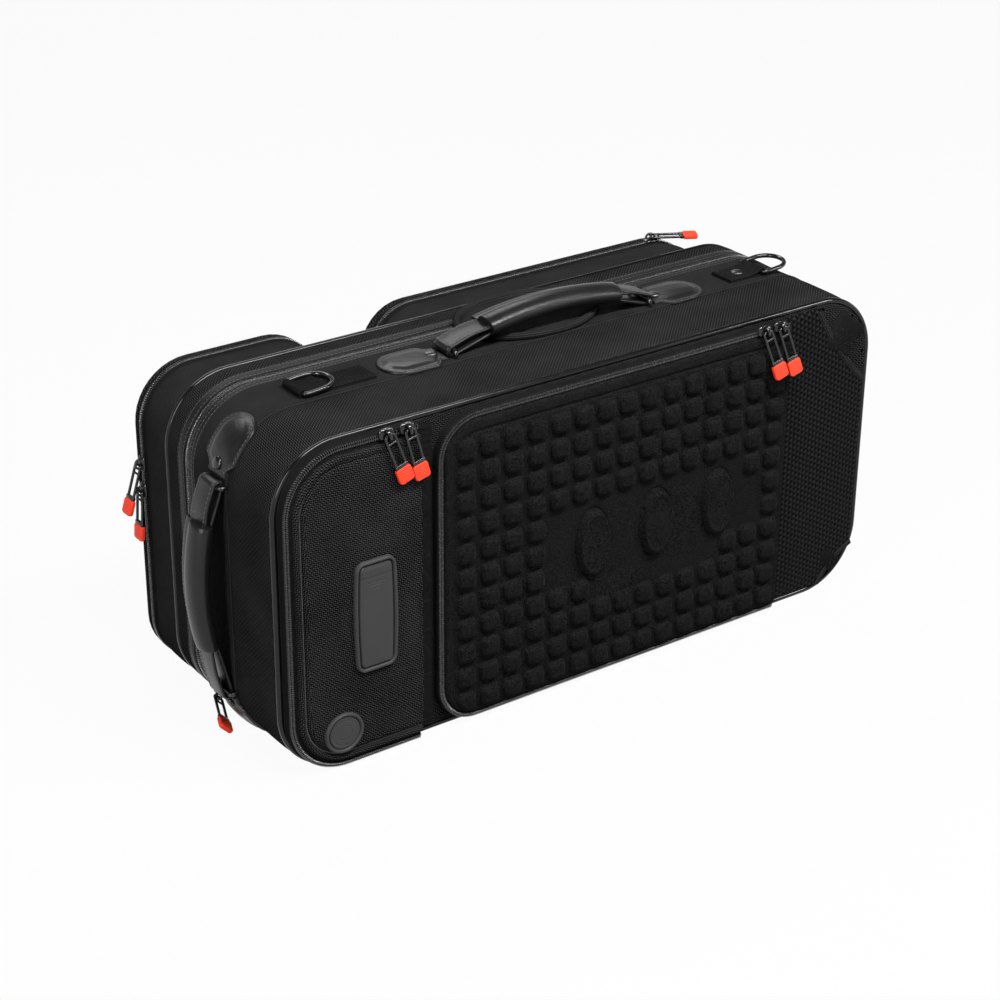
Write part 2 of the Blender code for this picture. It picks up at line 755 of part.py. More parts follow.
def build_card_window():
    """A plate with a raised rim: square at its right corners, round at the left."""
    face = proud(POCKET_COVER_PROUD + GAP)
    low = Vector((WINDOW_X - WINDOW_WIDTH / 2, face - WINDOW_THICKNESS, WINDOW_Z - WINDOW_LENGTH / 2))
    high = Vector((WINDOW_X + WINDOW_WIDTH / 2, face, WINDOW_Z + WINDOW_LENGTH / 2))
    radii = (WINDOW_CORNER, WINDOW_CORNER, WINDOW_CORNER / 2, WINDOW_CORNER / 2)
    plate = block("card_window", low, high, radii, dark_plastic(), 3)
    rim = Vector((WINDOW_RIM, 0, WINDOW_RIM))
    recess_low = low + rim
    recess_high = high - rim
    recess_low.y = low.y - OVERRUN
    recess_high.y = low.y + WINDOW_RECESS
    inner = tuple(radius - WINDOW_RIM for radius in radii)
    combine(plate, block("card_window_recess", recess_low, recess_high, inner, None, 3), 'DIFFERENCE')
    return plate


def turned(name, profile, steps, matrix, material):
    """A profile of (radius, height) points, top to bottom, turned about its own axis."""
    mesh = bpy.data.meshes.new(name)
    points = [(radius, 0.0, height) for radius, height in profile]
    mesh.from_pydata(points, [(i, i + 1) for i in range(len(points) - 1)], [])
    item = place(name, mesh, material)
    screw = item.modifiers.new("turn", 'SCREW')
    screw.steps = steps
    screw.render_steps = steps
    screw.use_merge_vertices = True
    screw.merge_threshold = GAP / 10
    screw.use_smooth_shade = True
    item.matrix_world = matrix
    return item


def build_badge():
    face = proud(POCKET_COVER_PROUD + GAP)
    profile = [(0.0, BADGE_THICKNESS / 2), (BADGE_RADIUS - 2 * BADGE_RIM, BADGE_THICKNESS / 2),
               (BADGE_RADIUS - BADGE_RIM, BADGE_THICKNESS), (BADGE_RADIUS, BADGE_THICKNESS / 2),
               (BADGE_RADIUS, 0.0), (0.0, 0.0)]
    matrix = Matrix.Translation((BADGE_X, face, BADGE_Z)) @ Matrix.Rotation(math.pi / 2, 4, 'X')
    return turned("round_badge", profile, BADGE_STEPS, matrix, dark_plastic())


# Padded back panel

def in_channel(x, z):
    """True where the smooth slanting channel leaves no room for a cushion."""
    along = (x - CHANNEL_CENTRE_X) / CHANNEL_HALF_LENGTH
    across = (z - CHANNEL_CENTRE_Z) / CHANNEL_HALF_WIDTH
    return along * along + across * across < 1.0


def cushion_places():
    """Centres of the cushions: a grid that fills the panel and leaves out the channel."""
    left = PAD_LEFT + CUSHION_LEFT_MARGIN
    right = PAD_RIGHT - CUSHION_FAR_MARGIN
    bottom = PAD_BOTTOM + CUSHION_FAR_MARGIN
    top = PAD_TOP - CUSHION_TOP_MARGIN
    columns = int((right - left - CUSHION_SIZE) / CUSHION_PITCH_X) + 1
    rows = int((top - bottom - CUSHION_SIZE) / CUSHION_PITCH_Z) + 1
    places = []
    for row in range(rows):
        for column in range(columns):
            x = left + CUSHION_SIZE / 2 + column * CUSHION_PITCH_X
            z = top - CUSHION_SIZE / 2 - row * CUSHION_PITCH_Z
            if not in_channel(x, z):
                places.append((x, z))
    return places


def frustum_mesh(work, x, z, y_base, width, height, thickness, taper):
    """A block in front of y_base whose front face is smaller than its back by the taper."""
    made = bmesh.ops.create_cube(work, size=1.0, matrix=Matrix.Diagonal((width, thickness, height, 1.0)))
    for vert in made["verts"]:
        if vert.co.y < 0:
            vert.co.x *= (width - taper) / width
            vert.co.z *= (height - taper) / height
    bmesh.ops.translate(work, verts=made["verts"], vec=(x, y_base - thickness / 2, z))


def ellipse(centre_x, centre_z, length, width, degrees, steps):
    """Points of a slanted ellipse in the X, Z plane."""
    tilt = math.radians(degrees)
    points = []
    for along, across in arc((0.0, 0.0), 1.0, 0, 360 - 360 / steps, steps - 1):
        u, v = along * length / 2, across * width / 2
        points.append((centre_x + u * math.cos(tilt) - v * math.sin(tilt),
                       centre_z + u * math.sin(tilt) + v * math.cos(tilt)))
    return points


def flat_outline(name, points, y_low, y_high, material=None):
    """A flat outline in the X, Z plane given thickness between two Y planes."""
    sheet = poly_curve(name, points, True)
    sheet.data.fill_mode = 'BOTH'
    sheet.data.extrude = (y_high - y_low) / 2
    sheet.rotation_euler = (math.pi / 2, 0, 0)
    sheet.location = (0, (y_low + y_high) / 2, 0)
    return mesh_object(name, sheet, material)


def build_pad():
    """The cushioned panel that hides the straps, folding at its right edge."""
    panel = tray("back_pad", (PAD_LEFT, proud(PAD_PROUD), PAD_BOTTOM), (PAD_RIGHT, proud(GAP), PAD_TOP),
                 (PAD_RADIUS, PAD_RADIUS, 0.0, 0.0), PAD_WALL, PAD_EDGE, velour(), 1, 2, 3)
    face = proud(PAD_PROUD - PAD_WALL / 2)
    height = CUSHION_HEIGHT + PAD_WALL / 2
    work = bmesh.new()
    for x, z in cushion_places():
        frustum_mesh(work, x, z, face, CUSHION_SIZE, CUSHION_SIZE, height, CUSHION_TAPER)
    mesh = bpy.data.meshes.new("cushions")
    work.to_mesh(mesh)
    work.free()
    combine(panel, place("cushions", mesh), 'UNION')
    front = face - height
    for index, share in enumerate(LOZENGE_SHARES):
        x = CHANNEL_CENTRE_X + share * CHANNEL_HALF_LENGTH
        outline = ellipse(x, CHANNEL_CENTRE_Z, LOZENGE_WIDTH, LOZENGE_LENGTH, 0, 12)
        combine(panel, flat_outline("lozenge_%d" % index, outline, front, face), 'UNION')
    hinge = axis_empty("back_pad_hinge", (PAD_RIGHT, proud(COVER_FOLD_PROUD), 0.0))
    attach(panel, hinge)
    return hinge


def gusset_profile():
    """A low wall whose front edge swells into the zip coil."""
    half = GUSSET_THICKNESS / 2
    base, shoulder = proud(GAP), proud(GUSSET_HEIGHT)
    tip = proud(GUSSET_HEIGHT + GUSSET_TIP)
    return [(-half, base), (half, base), (half, shoulder), (half / 2, tip), (-half / 2, tip),
            (-half, shoulder)]


def gusset_path(left, right, bottom, top, radius):
    """Round the top, left and bottom of a cover, on the middle of the gusset."""
    grow = GUSSET_THICKNESS / 2 + GAP
    centre_x = left + radius
    points = [(right, top + grow)]
    points += arc((centre_x, top - radius), radius + grow, 90, 180, CORNER_STEPS)
    points += arc((centre_x, bottom + radius), radius + grow, 180, 270, CORNER_STEPS)
    points.append((right, bottom - grow))
    return points


def build_front_gussets():
    pocket = gusset_path(POCKET_COVER_LEFT, POCKET_COVER_RIGHT, POCKET_COVER_BOTTOM, POCKET_COVER_TOP,
                         POCKET_COVER_RADIUS)
    pad = gusset_path(PAD_LEFT, PAD_RIGHT, PAD_BOTTOM, PAD_TOP, PAD_RADIUS)
    sweep("pocket_gusset", pocket, gusset_profile(), False, zip_nylon())
    sweep("pad_gusset", pad, gusset_profile(), False, zip_nylon())


def build_column():
    back, front = proud(GAP), proud(GAP + COLUMN_THICKNESS)
    column = block("webbing_column", (COLUMN_LEFT, front, COLUMN_MARGIN),
                   (COLUMN_RIGHT, back, CASE_HEIGHT - COLUMN_MARGIN), (0.0,) * 4, canvas())
    centre = (COLUMN_LEFT + COLUMN_RIGHT) / 2
    step = (CASE_HEIGHT - 2 * COLUMN_MARGIN) / (FOLD_COUNT + 1)
    for index in range(FOLD_COUNT):
        z = COLUMN_MARGIN + step * (index + 1)
        outline = [(centre - FOLD_WIDTH / 2, z - FOLD_HEIGHT / 2), (centre + FOLD_WIDTH / 2, z),
                   (centre - FOLD_WIDTH / 2, z + FOLD_HEIGHT / 2)]
        fold = flat_outline("fold_%d" % index, outline[::-1], front - FOLD_THICKNESS,
                            front + COLUMN_THICKNESS / 2)
        combine(column, fold, 'UNION')


def mesh_cut(start, stop, steps=4):
    """A slightly bowed edge between two points, the bow towards the panel's middle."""
    start, stop = Vector(start), Vector(stop)
    along = stop - start
    inwards = Vector((-along.y, along.x)).normalized()
    points = []
    for index in range(steps + 1):
        share = index / steps
        bow = inwards * MESH_CUT_BOW * 4 * share * (1 - share)
        points.append(tuple(start + along * share + bow))
    return points


def build_mesh_panel():
    outline = [(MESH_LEFT, MESH_BOTTOM)]
    outline += mesh_cut((MESH_BOTTOM_CUT_X, MESH_BOTTOM), (MESH_RIGHT, MESH_BOTTOM_CUT_Z))
    outline += mesh_cut((MESH_RIGHT, MESH_TOP_CUT_Z), (MESH_TOP_CUT_X, MESH_TOP))
    outline.append((MESH_LEFT, MESH_TOP))
    panel = flat_outline("mesh_panel", outline, proud(GAP + MESH_THICKNESS), proud(GAP), air_mesh())
    places = ((STRAP_END_X, STRAP_END_Z, STRAP_END_WIDTH, STRAP_END_LENGTH, STRAP_END_DEGREES),
              (LOWER_END_X, LOWER_END_Z, LOWER_END_WIDTH, LOWER_END_LENGTH, LOWER_END_DEGREES))
    for index, (x, z, width, length, degrees) in enumerate(places):
        end = block("strap_end_%d" % index, (-width / 2, -STRAP_END_THICKNESS, -length / 2),
                    (width / 2, -GAP, length / 2), (0.0,) * 4)
        end.matrix_world = (Matrix.Translation((x, proud(GAP), z))
                            @ Matrix.Rotation(math.radians(degrees), 4, 'Y'))
        combine(panel, end, 'UNION')


def build_straps():
    """The two stowed shoulder pads under the back panel, sewn to a yoke at the top."""
    back = proud(GAP)
    front = back - STRAP_PAD_THICKNESS
    middle_z = (PAD_BOTTOM + PAD_TOP) / 2
    middle_x = (PAD_LEFT + PAD_RIGHT) / 2
    low_z, high_z = middle_z - STRAP_PAD_LENGTH / 2, middle_z + STRAP_PAD_LENGTH / 2
    reach = (STRAP_PAD_SPACING + STRAP_PAD_WIDTH) / 2
    corner = STRAP_PAD_WIDTH / 3
    straps = block("shoulder_straps", (middle_x - reach, front, high_z - YOKE_HEIGHT),
                   (middle_x + reach, back, high_z), (corner, 0.0, 0.0, corner), canvas(), 3)
    for side in (-1, 1):
        x = middle_x + side * STRAP_PAD_SPACING / 2
        pad = block("strap_pad", (x - STRAP_PAD_WIDTH / 2, front + GAP, low_z),
                    (x + STRAP_PAD_WIDTH / 2, back - GAP, high_z - corner), (0.0, corner, corner, 0.0),
                    None, 3)
        combine(straps, pad, 'UNION')


# Handles. Each is worked out in its own frame: u along the handle, w across it, h away from the case.

def top_frame():
    """Local u, w, h of the top handle to the world."""
    return Matrix.Translation((TOP_HANDLE_X, depth(TOP_HANDLE_LIFT_DEPTH), CASE_HEIGHT))


def side_frame():
    """The side handle's u runs up the left end and its h points to -X."""
    turn = Matrix(((0, 0, -1, 0), (0, 1, 0, 0), (1, 0, 0, 0), (0, 0, 0, 1)))
    origin = Matrix.Translation((-CASE_LENGTH / 2, depth(SIDE_HANDLE_DEPTH), SIDE_HANDLE_Z))
    return origin @ turn


def wrapped(distance, lift, half_run, radius):
    """(u, h) of a point this far along the surface, which is flat to half_run and then turns
    down round a corner, and this far off it."""
    side = 1 if distance >= 0 else -1
    distance = abs(distance)
    if distance <= half_run:
        return side * distance, lift
    angle = min((distance - half_run) / radius, math.pi / 2)
    beyond = max(distance - half_run - radius * math.pi / 2, 0.0)
    u = half_run + (radius + lift) * math.sin(angle)
    h = (radius + lift) * math.cos(angle) - radius - beyond
    return side * u, h


def patch_half_width(share):
    """Half the width of a handle patch from its round outer end, share 0, to its tab, share 1."""
    if share < PATCH_ROUND_SHARE:
        ease = 1 - share / PATCH_ROUND_SHARE
        return PATCH_HALF_WIDTH * math.sqrt(max(1 - ease * ease, 0.0))
    if share < PATCH_NECK_SHARE:
        return PATCH_HALF_WIDTH
    ease = min((share - PATCH_NECK_SHARE) / PATCH_NECK_RUN_SHARE, 1.0)
    blend = (1 - math.cos(math.pi * ease)) / 2
    return PATCH_HALF_WIDTH + (PATCH_TAB_HALF_WIDTH - PATCH_HALF_WIDTH) * blend


def patch_dome(share, across):
    """Height of the patch's padding over its plain thickness."""
    along = min(share / PATCH_DOME_END_SHARE, 1.0)
    return PATCH_DOME * (1 - across * across) * math.sqrt(math.sin(math.pi * along))


def patch(name, rivet, outer_reach, half_run, radius, matrix, side):
    """A leather patch: a grid laid on the case surface and thickened away from it."""
    outer = abs(rivet) + outer_reach
    inner = abs(rivet) - PATCH_INNER_REACH
    work = bmesh.new()
    bmesh.ops.create_grid(work, x_segments=PATCH_STEPS, y_segments=PATCH_ACROSS, size=0.5)
    spots = {}
    for vert in work.verts:
        share = PATCH_START_SHARE + (1 - PATCH_START_SHARE) * (vert.co.x + 0.5)
        spots[vert.index] = (share, vert.co.y * 2)
    below = list(work.verts)
    raised = bmesh.ops.extrude_face_region(work, geom=list(work.faces))
    above = [item for item in raised["geom"] if isinstance(item, bmesh.types.BMVert)]
    by_place = {(round(vert.co.x, 4), round(vert.co.y, 4)): spots[vert.index] for vert in below}
    half_start = patch_half_width(PATCH_START_SHARE)
    for vert in below + above:
        share, across = by_place[(round(vert.co.x, 4), round(vert.co.y, 4))]
        lift = GAP
        if vert in above:
            lift += PATCH_THICKNESS + patch_dome(share, across)
        distance = outer + (inner - outer) * (share - PATCH_START_SHARE) / (1 - PATCH_START_SHARE)
        u, h = wrapped(side * distance, lift, half_run, radius)
        width = max(patch_half_width(share), half_start)
        vert.co = (u, across * width, h)
    bmesh.ops.recalc_face_normals(work, faces=work.faces)
    mesh = bpy.data.meshes.new(name)
    work.to_mesh(mesh)
    work.free()
    item = place(name, mesh, leather())
    item.matrix_world = matrix
    seat = GAP + PATCH_THICKNESS + patch_dome(outer_reach / (outer_reach + PATCH_INNER_REACH), 0.0)
    add_rivet(item, wrap_matrix(side * abs(rivet), seat, half_run, radius, matrix))
    return item


def wrap_matrix(distance, lift, half_run, radius, matrix):
    """A frame seated on the wrapped surface, Z away from it."""
    u, h = wrapped(distance, lift, half_run, radius)
    turn = max(abs(distance) - half_run, 0.0) / radius * (1 if distance >= 0 else -1)
    return matrix @ Matrix.Translation((u, 0, h)) @ Matrix.Rotation(turn, 4, 'Y')


def add_rivet(item, seat):
    """A rivet head that stands on the seat, its shank sunk into the piece."""
    work = bmesh.new()
    bmesh.ops.create_cone(work, cap_ends=True, segments=RIVET_SIDES, radius1=RIVET_RADIUS,
                          radius2=RIVET_RADIUS * RIVET_TOP_SHARE, depth=RIVET_HEIGHT + RIVET_SINK,
                          matrix=Matrix.Translation((0, 0, (RIVET_HEIGHT - RIVET_SINK) / 2)))
    mesh = bpy.data.meshes.new("rivet")
    work.to_mesh(mesh)
    work.free()
    head = place("rivet", mesh)
    head.matrix_world = seat
    combine(item, head, 'UNION')


def loop_staple(name, u, matrix):
    """A wire staple across the handle: feet on the case, bar at the loop height."""
    bottom = GAP + LOOP_WIRE_RADIUS
    half = LOOP_HALF_WIDTH
    points = [(u, -half, GAP), (u, -half, LOOP_HEIGHT), (u, half, LOOP_HEIGHT), (u, half, GAP)]
    points.insert(1, (u, -half, bottom + LOOP_WIRE_RADIUS))
    points.insert(-1, (u, half, bottom + LOOP_WIRE_RADIUS))
    item = tube(name, points, LOOP_WIRE_RADIUS, False, black_metal())
    item.matrix_world = matrix @ item.matrix_world


def grip_arc(length, rise, shift):
    """Side view of the grip's middle line: an arch that sags at its ends, slid along the handle."""
    points = []
    for index in range(GRIP_STEPS + 1):
        share = index / GRIP_STEPS * 2 - 1
        points.append((shift + share * length / 2, rise - GRIP_SAG * share * share))
    return points


def strap_end(reach, end_height, loop_u):
    """Side view of the strap beyond one end of the grip: its tail, its eye and its way up. The eye
    rests on the staple and leaves room below it for the handle to lift."""
    eye = LOOP_WIRE_RADIUS + STRAP_THICKNESS / 2 + GAP + STRAP_SLACK / 2
    eye_height = LOOP_HEIGHT - STRAP_SLACK / 2
    tail_start = (reach + 2 * GAP, end_height - GRIP_THICKNESS * STRAP_TAIL_SHARE)
    tail_middle = ((loop_u + tail_start[0]) / 2, (LOOP_HEIGHT + tail_start[1]) * STRAP_SAG_SHARE)
    around = arc((loop_u, eye_height), eye, STRAP_EYE_START_DEGREES, 90, 6)
    way_up = ((loop_u + reach) / 2, (eye_height + eye + end_height) / 2 + eye / 2)
    return [tail_start, tail_middle] + around + [way_up]


def strap_line(length, rise, shift, loop_u):
    """Side view of the whole strap: through the grip, round both staples and back."""
    end_height = rise - GRIP_SAG
    low = strap_end(length / 2 - shift, end_height, loop_u)
    high = strap_end(length / 2 + shift, end_height, loop_u)
    return [(-u, h) for u, h in low] + grip_arc(length, rise, shift) + high[::-1]


def grip(name, length, rise, shift, matrix):
    """A padded oval sleeve with a slot for the strap."""
    oval = []
    for along, across in arc((0.0, 0.0), 1.0, 0, 360 - 360 / GRIP_SIDES, GRIP_SIDES - 1):
        oval.append((GRIP_THICKNESS / 2 * math.copysign(abs(along) ** GRIP_OVAL_POWER, along),
                     GRIP_WIDTH / 2 * math.copysign(abs(across) ** GRIP_OVAL_POWER, across)))
    guide = poly_curve(name + "_section", clockwise(oval), True)
    ends = grip_arc(length, rise, shift)
    path = poly_curve(name + "_path", ends, False)
    path.data.bevel_mode = 'OBJECT'
    path.data.bevel_object = guide
    path.data.use_fill_caps = True
    path.rotation_euler = (math.pi / 2, 0, 0)
    item = mesh_object(name, path, leather())
    bpy.data.objects.remove(guide, do_unlink=True)
    item.matrix_world = matrix @ item.matrix_world
    first, last = Vector(ends[0]), Vector(ends[-1])
    before = (first - Vector(ends[1])).normalized() * OVERRUN
    after = (last - Vector(ends[-2])).normalized() * OVERRUN
    line = [tuple(first + before)] + ends + [tuple(last + after)]
    slot = ribbon(name + "_slot", line, STRAP_WIDTH + 2 * GAP, STRAP_THICKNESS + 2 * GAP, matrix, None)
    combine(item, slot, 'DIFFERENCE')
    return item


def handle(prefix, low_end, high_end, spacing, grip_length, rise, shift, matrix):
    loop_u = spacing / 2 - LOOP_INSET
    line = strap_line(grip_length, rise, shift, loop_u)
    carrier = axis_empty(prefix + "_handle", matrix.translation)
    attach(ribbon(prefix + "_handle_strap", line, STRAP_WIDTH, STRAP_THICKNESS, matrix, leather()), carrier)
    attach(grip(prefix + "_handle_grip", grip_length, rise, shift, matrix), carrier)
    loop_staple(low_end + "_loop", -loop_u, matrix)
    loop_staple(high_end + "_loop", loop_u, matrix)


def build_handles():
    top, side = top_frame(), side_frame()
    upper_run = CASE_HEIGHT - CORNER_RADIUS - SIDE_HANDLE_Z
    lower_run = SIDE_HANDLE_Z - CORNER_RADIUS
    flat_run = CASE_LENGTH / 2 - CORNER_RADIUS - TOP_HANDLE_X
    top_half, side_half = TOP_RIVET_SPACING / 2, SIDE_RIVET_SPACING / 2
    patch("top_left_patch", top_half, TOP_PATCH_OUTER_REACH, flat_run, CORNER_RADIUS, top, -1)
    patch("top_right_patch", top_half, TOP_PATCH_OUTER_REACH, flat_run, CORNER_RADIUS, top, 1)
    patch("upper_side_patch", side_half, SIDE_PATCH_OUTER_REACH, upper_run, CORNER_RADIUS, side, 1)
    patch("lower_side_patch", side_half, SIDE_PATCH_OUTER_REACH, lower_run, CORNER_RADIUS, side, -1)
    handle("top", "top_left", "top_right", TOP_RIVET_SPACING, TOP_GRIP_LENGTH, TOP_GRIP_RISE,
           TOP_GRIP_SHIFT, top)
    handle("side", "lower_side", "upper_side", SIDE_RIVET_SPACING, SIDE_GRIP_LENGTH, SIDE_GRIP_RISE,
           SIDE_GRIP_SHIFT, side)


def build_knuckle_pad():
    """An oval pad with a corded rim, seated on the band and reaching over the zip."""
    unit = KNUCKLE_WIDTH / 2
    rim = KNUCKLE_RIM / 2
    inner = unit - 2 * rim
    profile = [(0.0, KNUCKLE_THICKNESS), (inner - KNUCKLE_RIM, KNUCKLE_THICKNESS),
               (inner, KNUCKLE_SEAM_HEIGHT), (inner + rim / 2, KNUCKLE_RIM_SHOULDER),
               (inner + rim * 4 / 3, KNUCKLE_RIM), (unit, KNUCKLE_RIM / 2), (unit - rim / 2, 0.0),
               (0.0, 0.0)]
    scale = Matrix.Diagonal((KNUCKLE_LENGTH / KNUCKLE_WIDTH, 1.0, 1.0, 1.0))
    seat = Matrix.Translation((KNUCKLE_X, depth(KNUCKLE_DEPTH), CASE_HEIGHT + GAP))
    turned("knuckle_pad", profile, KNUCKLE_STEPS, seat @ scale, canvas())


# D-rings

def ring_line():
    """The D in its own plane: a straight bar across zero, the bow reaching along +u."""
    half = RING_WIDTH / 2 - RING_WIRE_RADIUS
    bow = RING_REACH - RING_WIRE_RADIUS
    points = [(0.0, -half + RING_WIRE_RADIUS), (0.0, half - RING_WIRE_RADIUS), (RING_WIRE_RADIUS, half)]
    points += arc((bow - half, 0.0), half, RING_BOW_DEGREES, -RING_BOW_DEGREES, 6)
    points.append((RING_WIRE_RADIUS, -half))
    return [(u, w, 0.0) for u, w in points]


def d_ring(name, bar_x):
    """A ring lying to +X, tilted just enough to clear what lies under its bow."""
    item = tube(name, ring_line(), RING_WIRE_RADIUS, True, black_metal())
    tilt = Matrix.Rotation(-math.radians(RING_TILT), 4, 'Y')
    centre = Matrix.Translation((bar_x, depth(RING_DEPTH), CASE_HEIGHT + RING_BAR_HEIGHT))
    item.matrix_world = centre @ tilt


def tab_line(length):
    """Side view of a folded webbing tab: sewn layer, round the ring's bar, back on top."""
    eye = RING_WIRE_RADIUS + TAB_THICKNESS / 2 + 1.5 * GAP
    low = GAP + TAB_THICKNESS / 2
    top = low + TAB_THICKNESS + GAP
    lead = TAB_LEAD
    around = arc((0.0, RING_BAR_HEIGHT), eye, -TAB_WRAP_DEGREES, TAB_WRAP_DEGREES, 6)
    return [(-length, low), (-lead, low)] + around + [(-lead, top), (-length, top)]


def tab(name, bar_x, length, direction):
    frame = Matrix.Translation((bar_x, depth(RING_DEPTH), CASE_HEIGHT))
    turn = Matrix.Rotation(0.0 if direction > 0 else math.pi, 4, 'Z')
    return ribbon(name, tab_line(length), TAB_WIDTH, TAB_THICKNESS, frame @ turn, canvas())


def build_d_rings():
    right = tab("right_d_ring_tab", TAB_RIGHT_BAR_X, TAB_RIGHT_LENGTH, 1)
    top = CASE_HEIGHT + 2 * GAP + 2 * TAB_THICKNESS
    add_rivet(right, Matrix.Translation((TAB_RIGHT_BAR_X - TAB_RIVET_BACK, depth(RING_DEPTH), top)))
    tab("left_d_ring_tab", TAB_LEFT_BAR_X, TAB_LEFT_LENGTH, -1)
    d_ring("d_ring_right", TAB_RIGHT_BAR_X)
    d_ring("d_ring_left", TAB_LEFT_BAR_X)


# Zip sliders and pulls

def frame_from(origin, along, normal):
    """A matrix whose X runs along, Z is the normal and Y completes them."""
    normal = Vector(normal).normalized()
    along = Vector(along)
    along = (along - normal * along.dot(normal)).normalized()
    across = normal.cross(along)
    matrix = Matrix((along, across, normal)).transposed().to_4x4()
    matrix.translation = Vector(origin)
    return matrix


def slider(name, seat, travel, pull_way, normal):
    """The slider body on its seat, with the wire arch that holds the pull."""
    work = bmesh.new()
    size = Matrix.Diagonal((SLIDER_LENGTH, SLIDER_WIDTH, SLIDER_THICKNESS, 1.0))
    bmesh.ops.create_cube(work, size=1.0, matrix=size)
    bmesh.ops.bevel(work, geom=list(work.edges), offset=SLIDER_EDGE, segments=1, affect='EDGES')
    bmesh.ops.translate(work, verts=work.verts, vec=(0, 0, SLIDER_THICKNESS / 2))
    mesh = bpy.data.meshes.new(name)
    work.to_mesh(mesh)
    work.free()
    body = place(name, mesh, black_metal())
    body.matrix_world = frame_from(seat, travel, normal)
    top = SLIDER_THICKNESS
    foot = -SLIDER_THICKNESS / 2
    span = arc((0.0, top), ARCH_RADIUS, 0, 180, ARCH_STEPS)
    points = [(ARCH_RADIUS, 0.0, top + foot)] + [(u, 0.0, h) for u, h in span]
    points.append((-ARCH_RADIUS, 0.0, top + foot))
    arch = tube(name + "_arch", points, ARCH_WIRE_RADIUS, False, None)
    arch.matrix_world = frame_from(seat, pull_way, normal) @ arch.matrix_world
    combine(body, arch, 'UNION')
    return body


def pull_line():
    """The wire loop in its own plane: the bar at zero, the far bar at the pull's length."""
    half = PULL_WIDTH / 2 - PULL_WIRE_RADIUS
    far = PULL_LENGTH + TIP_LENGTH / 4
    bend = PULL_BEND
    near = arc((bend, half - bend), bend, 180, 90, 2) + [(far, half)]
    points = near + [(u, -w) for u, w in near[::-1]]
    return [(u, w, 0.0) for u, w in points]


def pull(name, seat, pull_way, normal):
    """The wire loop with the rubber tip moulded onto it; the loop's bar is the hinge."""
    frame = pull_frame(seat, pull_way, normal)
    work = bmesh.new()
    size = Matrix.Diagonal((TIP_LENGTH, TIP_WIDTH, TIP_THICKNESS, 1.0))
    bmesh.ops.create_cube(work, size=1.0, matrix=size)
    bmesh.ops.bevel(work, geom=list(work.edges), offset=TIP_EDGE, segments=1, affect='EDGES')
    bmesh.ops.translate(work, verts=work.verts, vec=(PULL_LENGTH + TIP_LENGTH / 2, 0, 0))
    mesh = bpy.data.meshes.new(name + "_pull")
    work.to_mesh(mesh)
    work.free()
    tip = place(name + "_pull", mesh, red_rubber())
    tip.matrix_world = frame
    loop = tube(name + "_loop", pull_line(), PULL_WIRE_RADIUS, True, None)
    loop.matrix_world = frame @ loop.matrix_world
    combine(tip, loop, 'UNION')
    return tip


def pull_pivot(seat, normal):
    return Vector(seat) + Vector(normal).normalized() * (SLIDER_THICKNESS + PULL_LIFT)


def pull_frame(seat, pull_way, normal):
    """The loop lies in the plane of the pull direction and the hinge bar."""
    way = Vector(pull_way).normalized()
    hinge = Vector(normal).cross(way).normalized()
    matrix = Matrix((way, hinge, way.cross(hinge))).transposed().to_4x4()
    matrix.translation = pull_pivot(seat, normal)
    return matrix


def zip_set(name, seat, travel, normal, pull_way, carrier):
    body = slider(name + "_slider", seat, travel, pull_way, normal)
    attach(body, carrier)
    attach(pull(name, seat, pull_way, normal), body)


def build_front_sliders(pocket_hinge, pad_hinge):
    """Pairs of sliders that meet above the covers, riding on the gussets' coils."""
    seat_y = proud(GUSSET_HEIGHT + GUSSET_TIP + GAP)
    grow = GAP + SLIDER_WIDTH / 2
    pocket = (POCKET_COVER_TOP + grow, POCKET_PULL_STAND_OFF, pocket_hinge)
    pad = (PAD_TOP + grow, PAD_PULL_STAND_OFF, pad_hinge)
    places = (("pocket_a", POCKET_SLIDER_A_X, POCKET_PULL_A_DRIFT_X, pocket),
              ("pocket_b", POCKET_SLIDER_B_X, POCKET_PULL_B_DRIFT_X, pocket),
              ("pad_a", PAD_SLIDER_A_X, PAD_PULL_A_DRIFT_X, pad),
              ("pad_b", PAD_SLIDER_B_X, PAD_PULL_B_DRIFT_X, pad))
    for name, x, drift, (z, stand_off, cover) in places:
        way = (drift, -stand_off, -FRONT_PULL_DROP_Z)
        zip_set(name, (x, seat_y, z), (1, 0, 0), (0, -1, 0), way, cover)


def build_rear_sliders(right_hinge, left_hinge):
    right_seat = (RIGHT_REAR_SLIDER_X, depth(CASE_DEPTH + RIGHT_POCKET_ZIP), REAR_POCKET_TOP + GAP)
    zip_set("right_rear", right_seat, (1, 0, 0), (0, 0, 1),
            (RIGHT_REAR_PULL_RUN_X, -RIGHT_REAR_PULL_RUN_Y, 0), right_hinge)
    places = (("left_rear_a", LEFT_REAR_SLIDER_A_Z, LEFT_REAR_PULL_A_STAND_OFF),
              ("left_rear_b", LEFT_REAR_SLIDER_B_Z, LEFT_REAR_PULL_B_STAND_OFF))
    for name, z, stand_off in places:
        seat = (LEFT_POCKET_LEFT - GAP, depth(CASE_DEPTH + LEFT_POCKET_ZIP), z)
        zip_set(name, seat, (0, 0, 1), (-1, 0, 0), (-stand_off, 0, -(PULL_LENGTH + TIP_LENGTH)),
                left_hinge)


